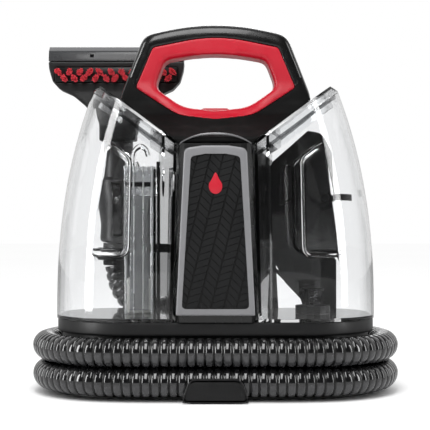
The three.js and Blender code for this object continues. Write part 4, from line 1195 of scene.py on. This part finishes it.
def make_head():
    front = rounded([(x + WAND_X, z, r) for x, z, r in HEAD], 10)
    side = rounded([(y + WAND_Y, z, r) for y, z, r in HEAD_SIDE], 10)
    head = both(prism("tool_head_shell", front, "y", 60, 130), prism("side", side, "x", -200, 0))
    minus(head, block("mouth", WAND_X - 66, WAND_X + 66, WAND_Y - 9, WAND_Y + 9, 315, 340))
    minus(head, block("seat", WAND_X - 64.2, WAND_X + 64.2, 70, 82.6, 308.8, 325.2))
    minus(head, rod("socket", WAND_X, WAND_Y, 15, 240, 262, 40))
    soften(head, 0.9, 5)
    dress(head, BLACK_SATIN, "tool_head", "tool_head", 60)

    section = [(p[0] + WAND_Y, p[1]) for p in rounded(NOZZLE, 8)]
    nozzle = prism("nozzle_lips", section, "x", WAND_X - 70.5, WAND_X + 70.5)
    bevel(nozzle, 1.4, 3, 50)
    bore = [(-10.4, 330), (10.4, 330), (8.6, 340), (1, 348), (-1, 348), (-8.6, 340)]
    minus(nozzle, prism("bore", [(y + WAND_Y, z) for y, z in bore], "x", WAND_X - 67.5, WAND_X + 67.5))
    minus(nozzle, block("port", WAND_X - 27.5, WAND_X - 23.5, 70, WAND_Y, 335.2, 338.4))
    dress(nozzle, NOZZLE_GREY, "tool_head", "suction_nozzle")
    # Painted highlight: the lips' faces above LIP_EDGE that do not face down take the light grey.
    nozzle.data.materials.append(PAINTED_HIGHLIGHT)
    for face in nozzle.data.polygons:
        if face.center.z > LIP_EDGE * MM and face.normal.z > -0.2:
            face.material_index = 1

    refine("spray_tip", 0.4, BLACK_SATIN)


def make_brush():
    rng = random.Random(7)
    front, pitch, hairs = 79.5, 10.8, 110
    bar = block("brush_bar", WAND_X - 63.7, WAND_X + 63.7, front, 82, 309.3, 324.7)
    bevel(bar, 0.8, 2)
    dress(bar, BLACK_DEEP, "tool_head", "bristle_brush")
    vertices, faces = [], []
    for z, shift, lean, count in ((319.3, 0, 1, 12), (312.6, 5.4, -1, 11)):
        for i in range(count):
            cx = WAND_X + (i - 5.5) * pitch + shift
            sway = lean * rng.uniform(-0.9, 0.9)
            tilt = rng.choice((-1, 1)) * rng.uniform(0.25, 0.6)
            for _ in range(hairs):
                angle, away = rng.uniform(0, 2 * math.pi), math.sqrt(rng.random())
                dz = 3.0 * away * math.sin(angle)
                dx = 2.9 * away * math.cos(angle) + tilt * dz
                tip_y = front - 7.0 - rng.uniform(0, 1.4)
                tip = (cx + 1.25 * dx + sway, tip_y, z + 1.35 * dz + rng.uniform(-0.3, 0.3))
                root = (cx + dx * 0.7, front + 0.3, z + dz * 0.7)
                ends = []
                for (px, py, pz), r in ((root, 0.34), (tip, 0.26)):
                    ends.append([(a, py, b) for a, b in circle(px, pz, r, 5)])
                add_frustum(vertices, faces, *ends)
    tufts = new_object("bristles", vertices, faces)
    dress(tufts, BRISTLE_RED, "tool_head", (), 50)


make_wand()
make_head()
make_brush()

# ------ the rest of the CAD nodes
FINISHES = {
    "steel": STEEL, "copper": COPPER, "white": WHITE, "rubber": RUBBER, "black_satin": BLACK_SATIN,
    "black_gloss": BLACK_GLOSS, "red": RED, "silver": SILVER, "clear": CLEAR, "smoke": SMOKE,
    "bristle": BRISTLE_RED, "hose": HOSE,
}
SLOT_OF = {s["node"]: s["material_slot"] for s in frame["record"]["subparts"]}
for name, obj in frame["nodes"].items():
    try:
        obj.data.materials.clear()
        obj.data.materials.append(FINISHES[SLOT_OF[name]])
    except ReferenceError:
        continue


# ------ floor, light and background
def make_stage():
    mesh = bpy.data.meshes.new("floor")
    mesh.from_pydata([(-6, -6, 0), (6, -6, 0), (6, 6, 0), (-6, 6, 0)], [], [(0, 1, 2, 3)])
    floor = bpy.data.objects.new("floor", mesh)
    floor.location.z = -0.0002
    SCENE.collection.objects.link(floor)
    material, tree, shader = node_material("floor_paint", (0.97, 0.97, 0.97), 1.0)
    shader.inputs["Specular IOR Level"].default_value = 0
    paint = tint(tree, noise(tree, 2), (0.96, 0.96, 0.96), (0.98, 0.98, 0.98))
    tree.links.new(paint, shader.inputs["Base Color"])
    mesh.materials.append(material)

    world = bpy.data.worlds.new("studio")
    SCENE.world = world
    world.use_nodes = True
    tree = world.node_tree
    background = tree.nodes["Background"]
    # Reflections see a studio that is dim towards the camera; everything else sees an even white one.
    direction = tree.nodes.new("ShaderNodeTexCoord")
    split = tree.nodes.new("ShaderNodeSeparateXYZ")
    tree.links.new(direction.outputs["Generated"], split.inputs["Vector"])
    strength = tree.nodes.new("ShaderNodeMapRange")
    strength.inputs["To Min"].default_value = 1.0
    dim = ranged(tree, split.outputs["Y"], -0.2, 0.3, 0.06, 0.75)
    tree.links.new(dim, strength.inputs["To Max"])
    path = tree.nodes.new("ShaderNodeLightPath")
    tree.links.new(path.outputs["Glossy Depth"], strength.inputs["Value"])
    tree.links.new(strength.outputs["Result"], background.inputs["Strength"])
    background.inputs["Color"].default_value = (1, 1, 1, 1)
    world.cycles.sampling_method = "NONE"


def softbox(name, place, aim, size, power, fills=False):
    light = bpy.data.lights.new(name, "AREA")
    light.shape = "RECTANGLE"
    light.size, light.size_y = size
    light.energy = power
    obj = bpy.data.objects.new(name, light)
    obj.location = place
    obj.rotation_euler = (Vector(aim) - Vector(place)).to_track_quat("-Z", "Y").to_euler()
    obj.visible_diffuse = fills
    SCENE.collection.objects.link(obj)


make_stage()
softbox("left_box", (-1.15, -0.5, 0.5), (0, 0, 0.2), (0.3, 1.1), 13)
softbox("right_box", (1.15, -0.4, 0.5), (0, 0, 0.2), (0.22, 1.0), 6)
softbox("front_box", (-0.1, -0.85, 1.2), (0, -0.1, 0.1), (0.5, 1.2), 13, fills=True)
softbox("back_box", (0.1, 1.3, 0.8), (0, 0, 0.2), (0.9, 0.4), 4)
SCENE.view_settings.view_transform = "Standard"
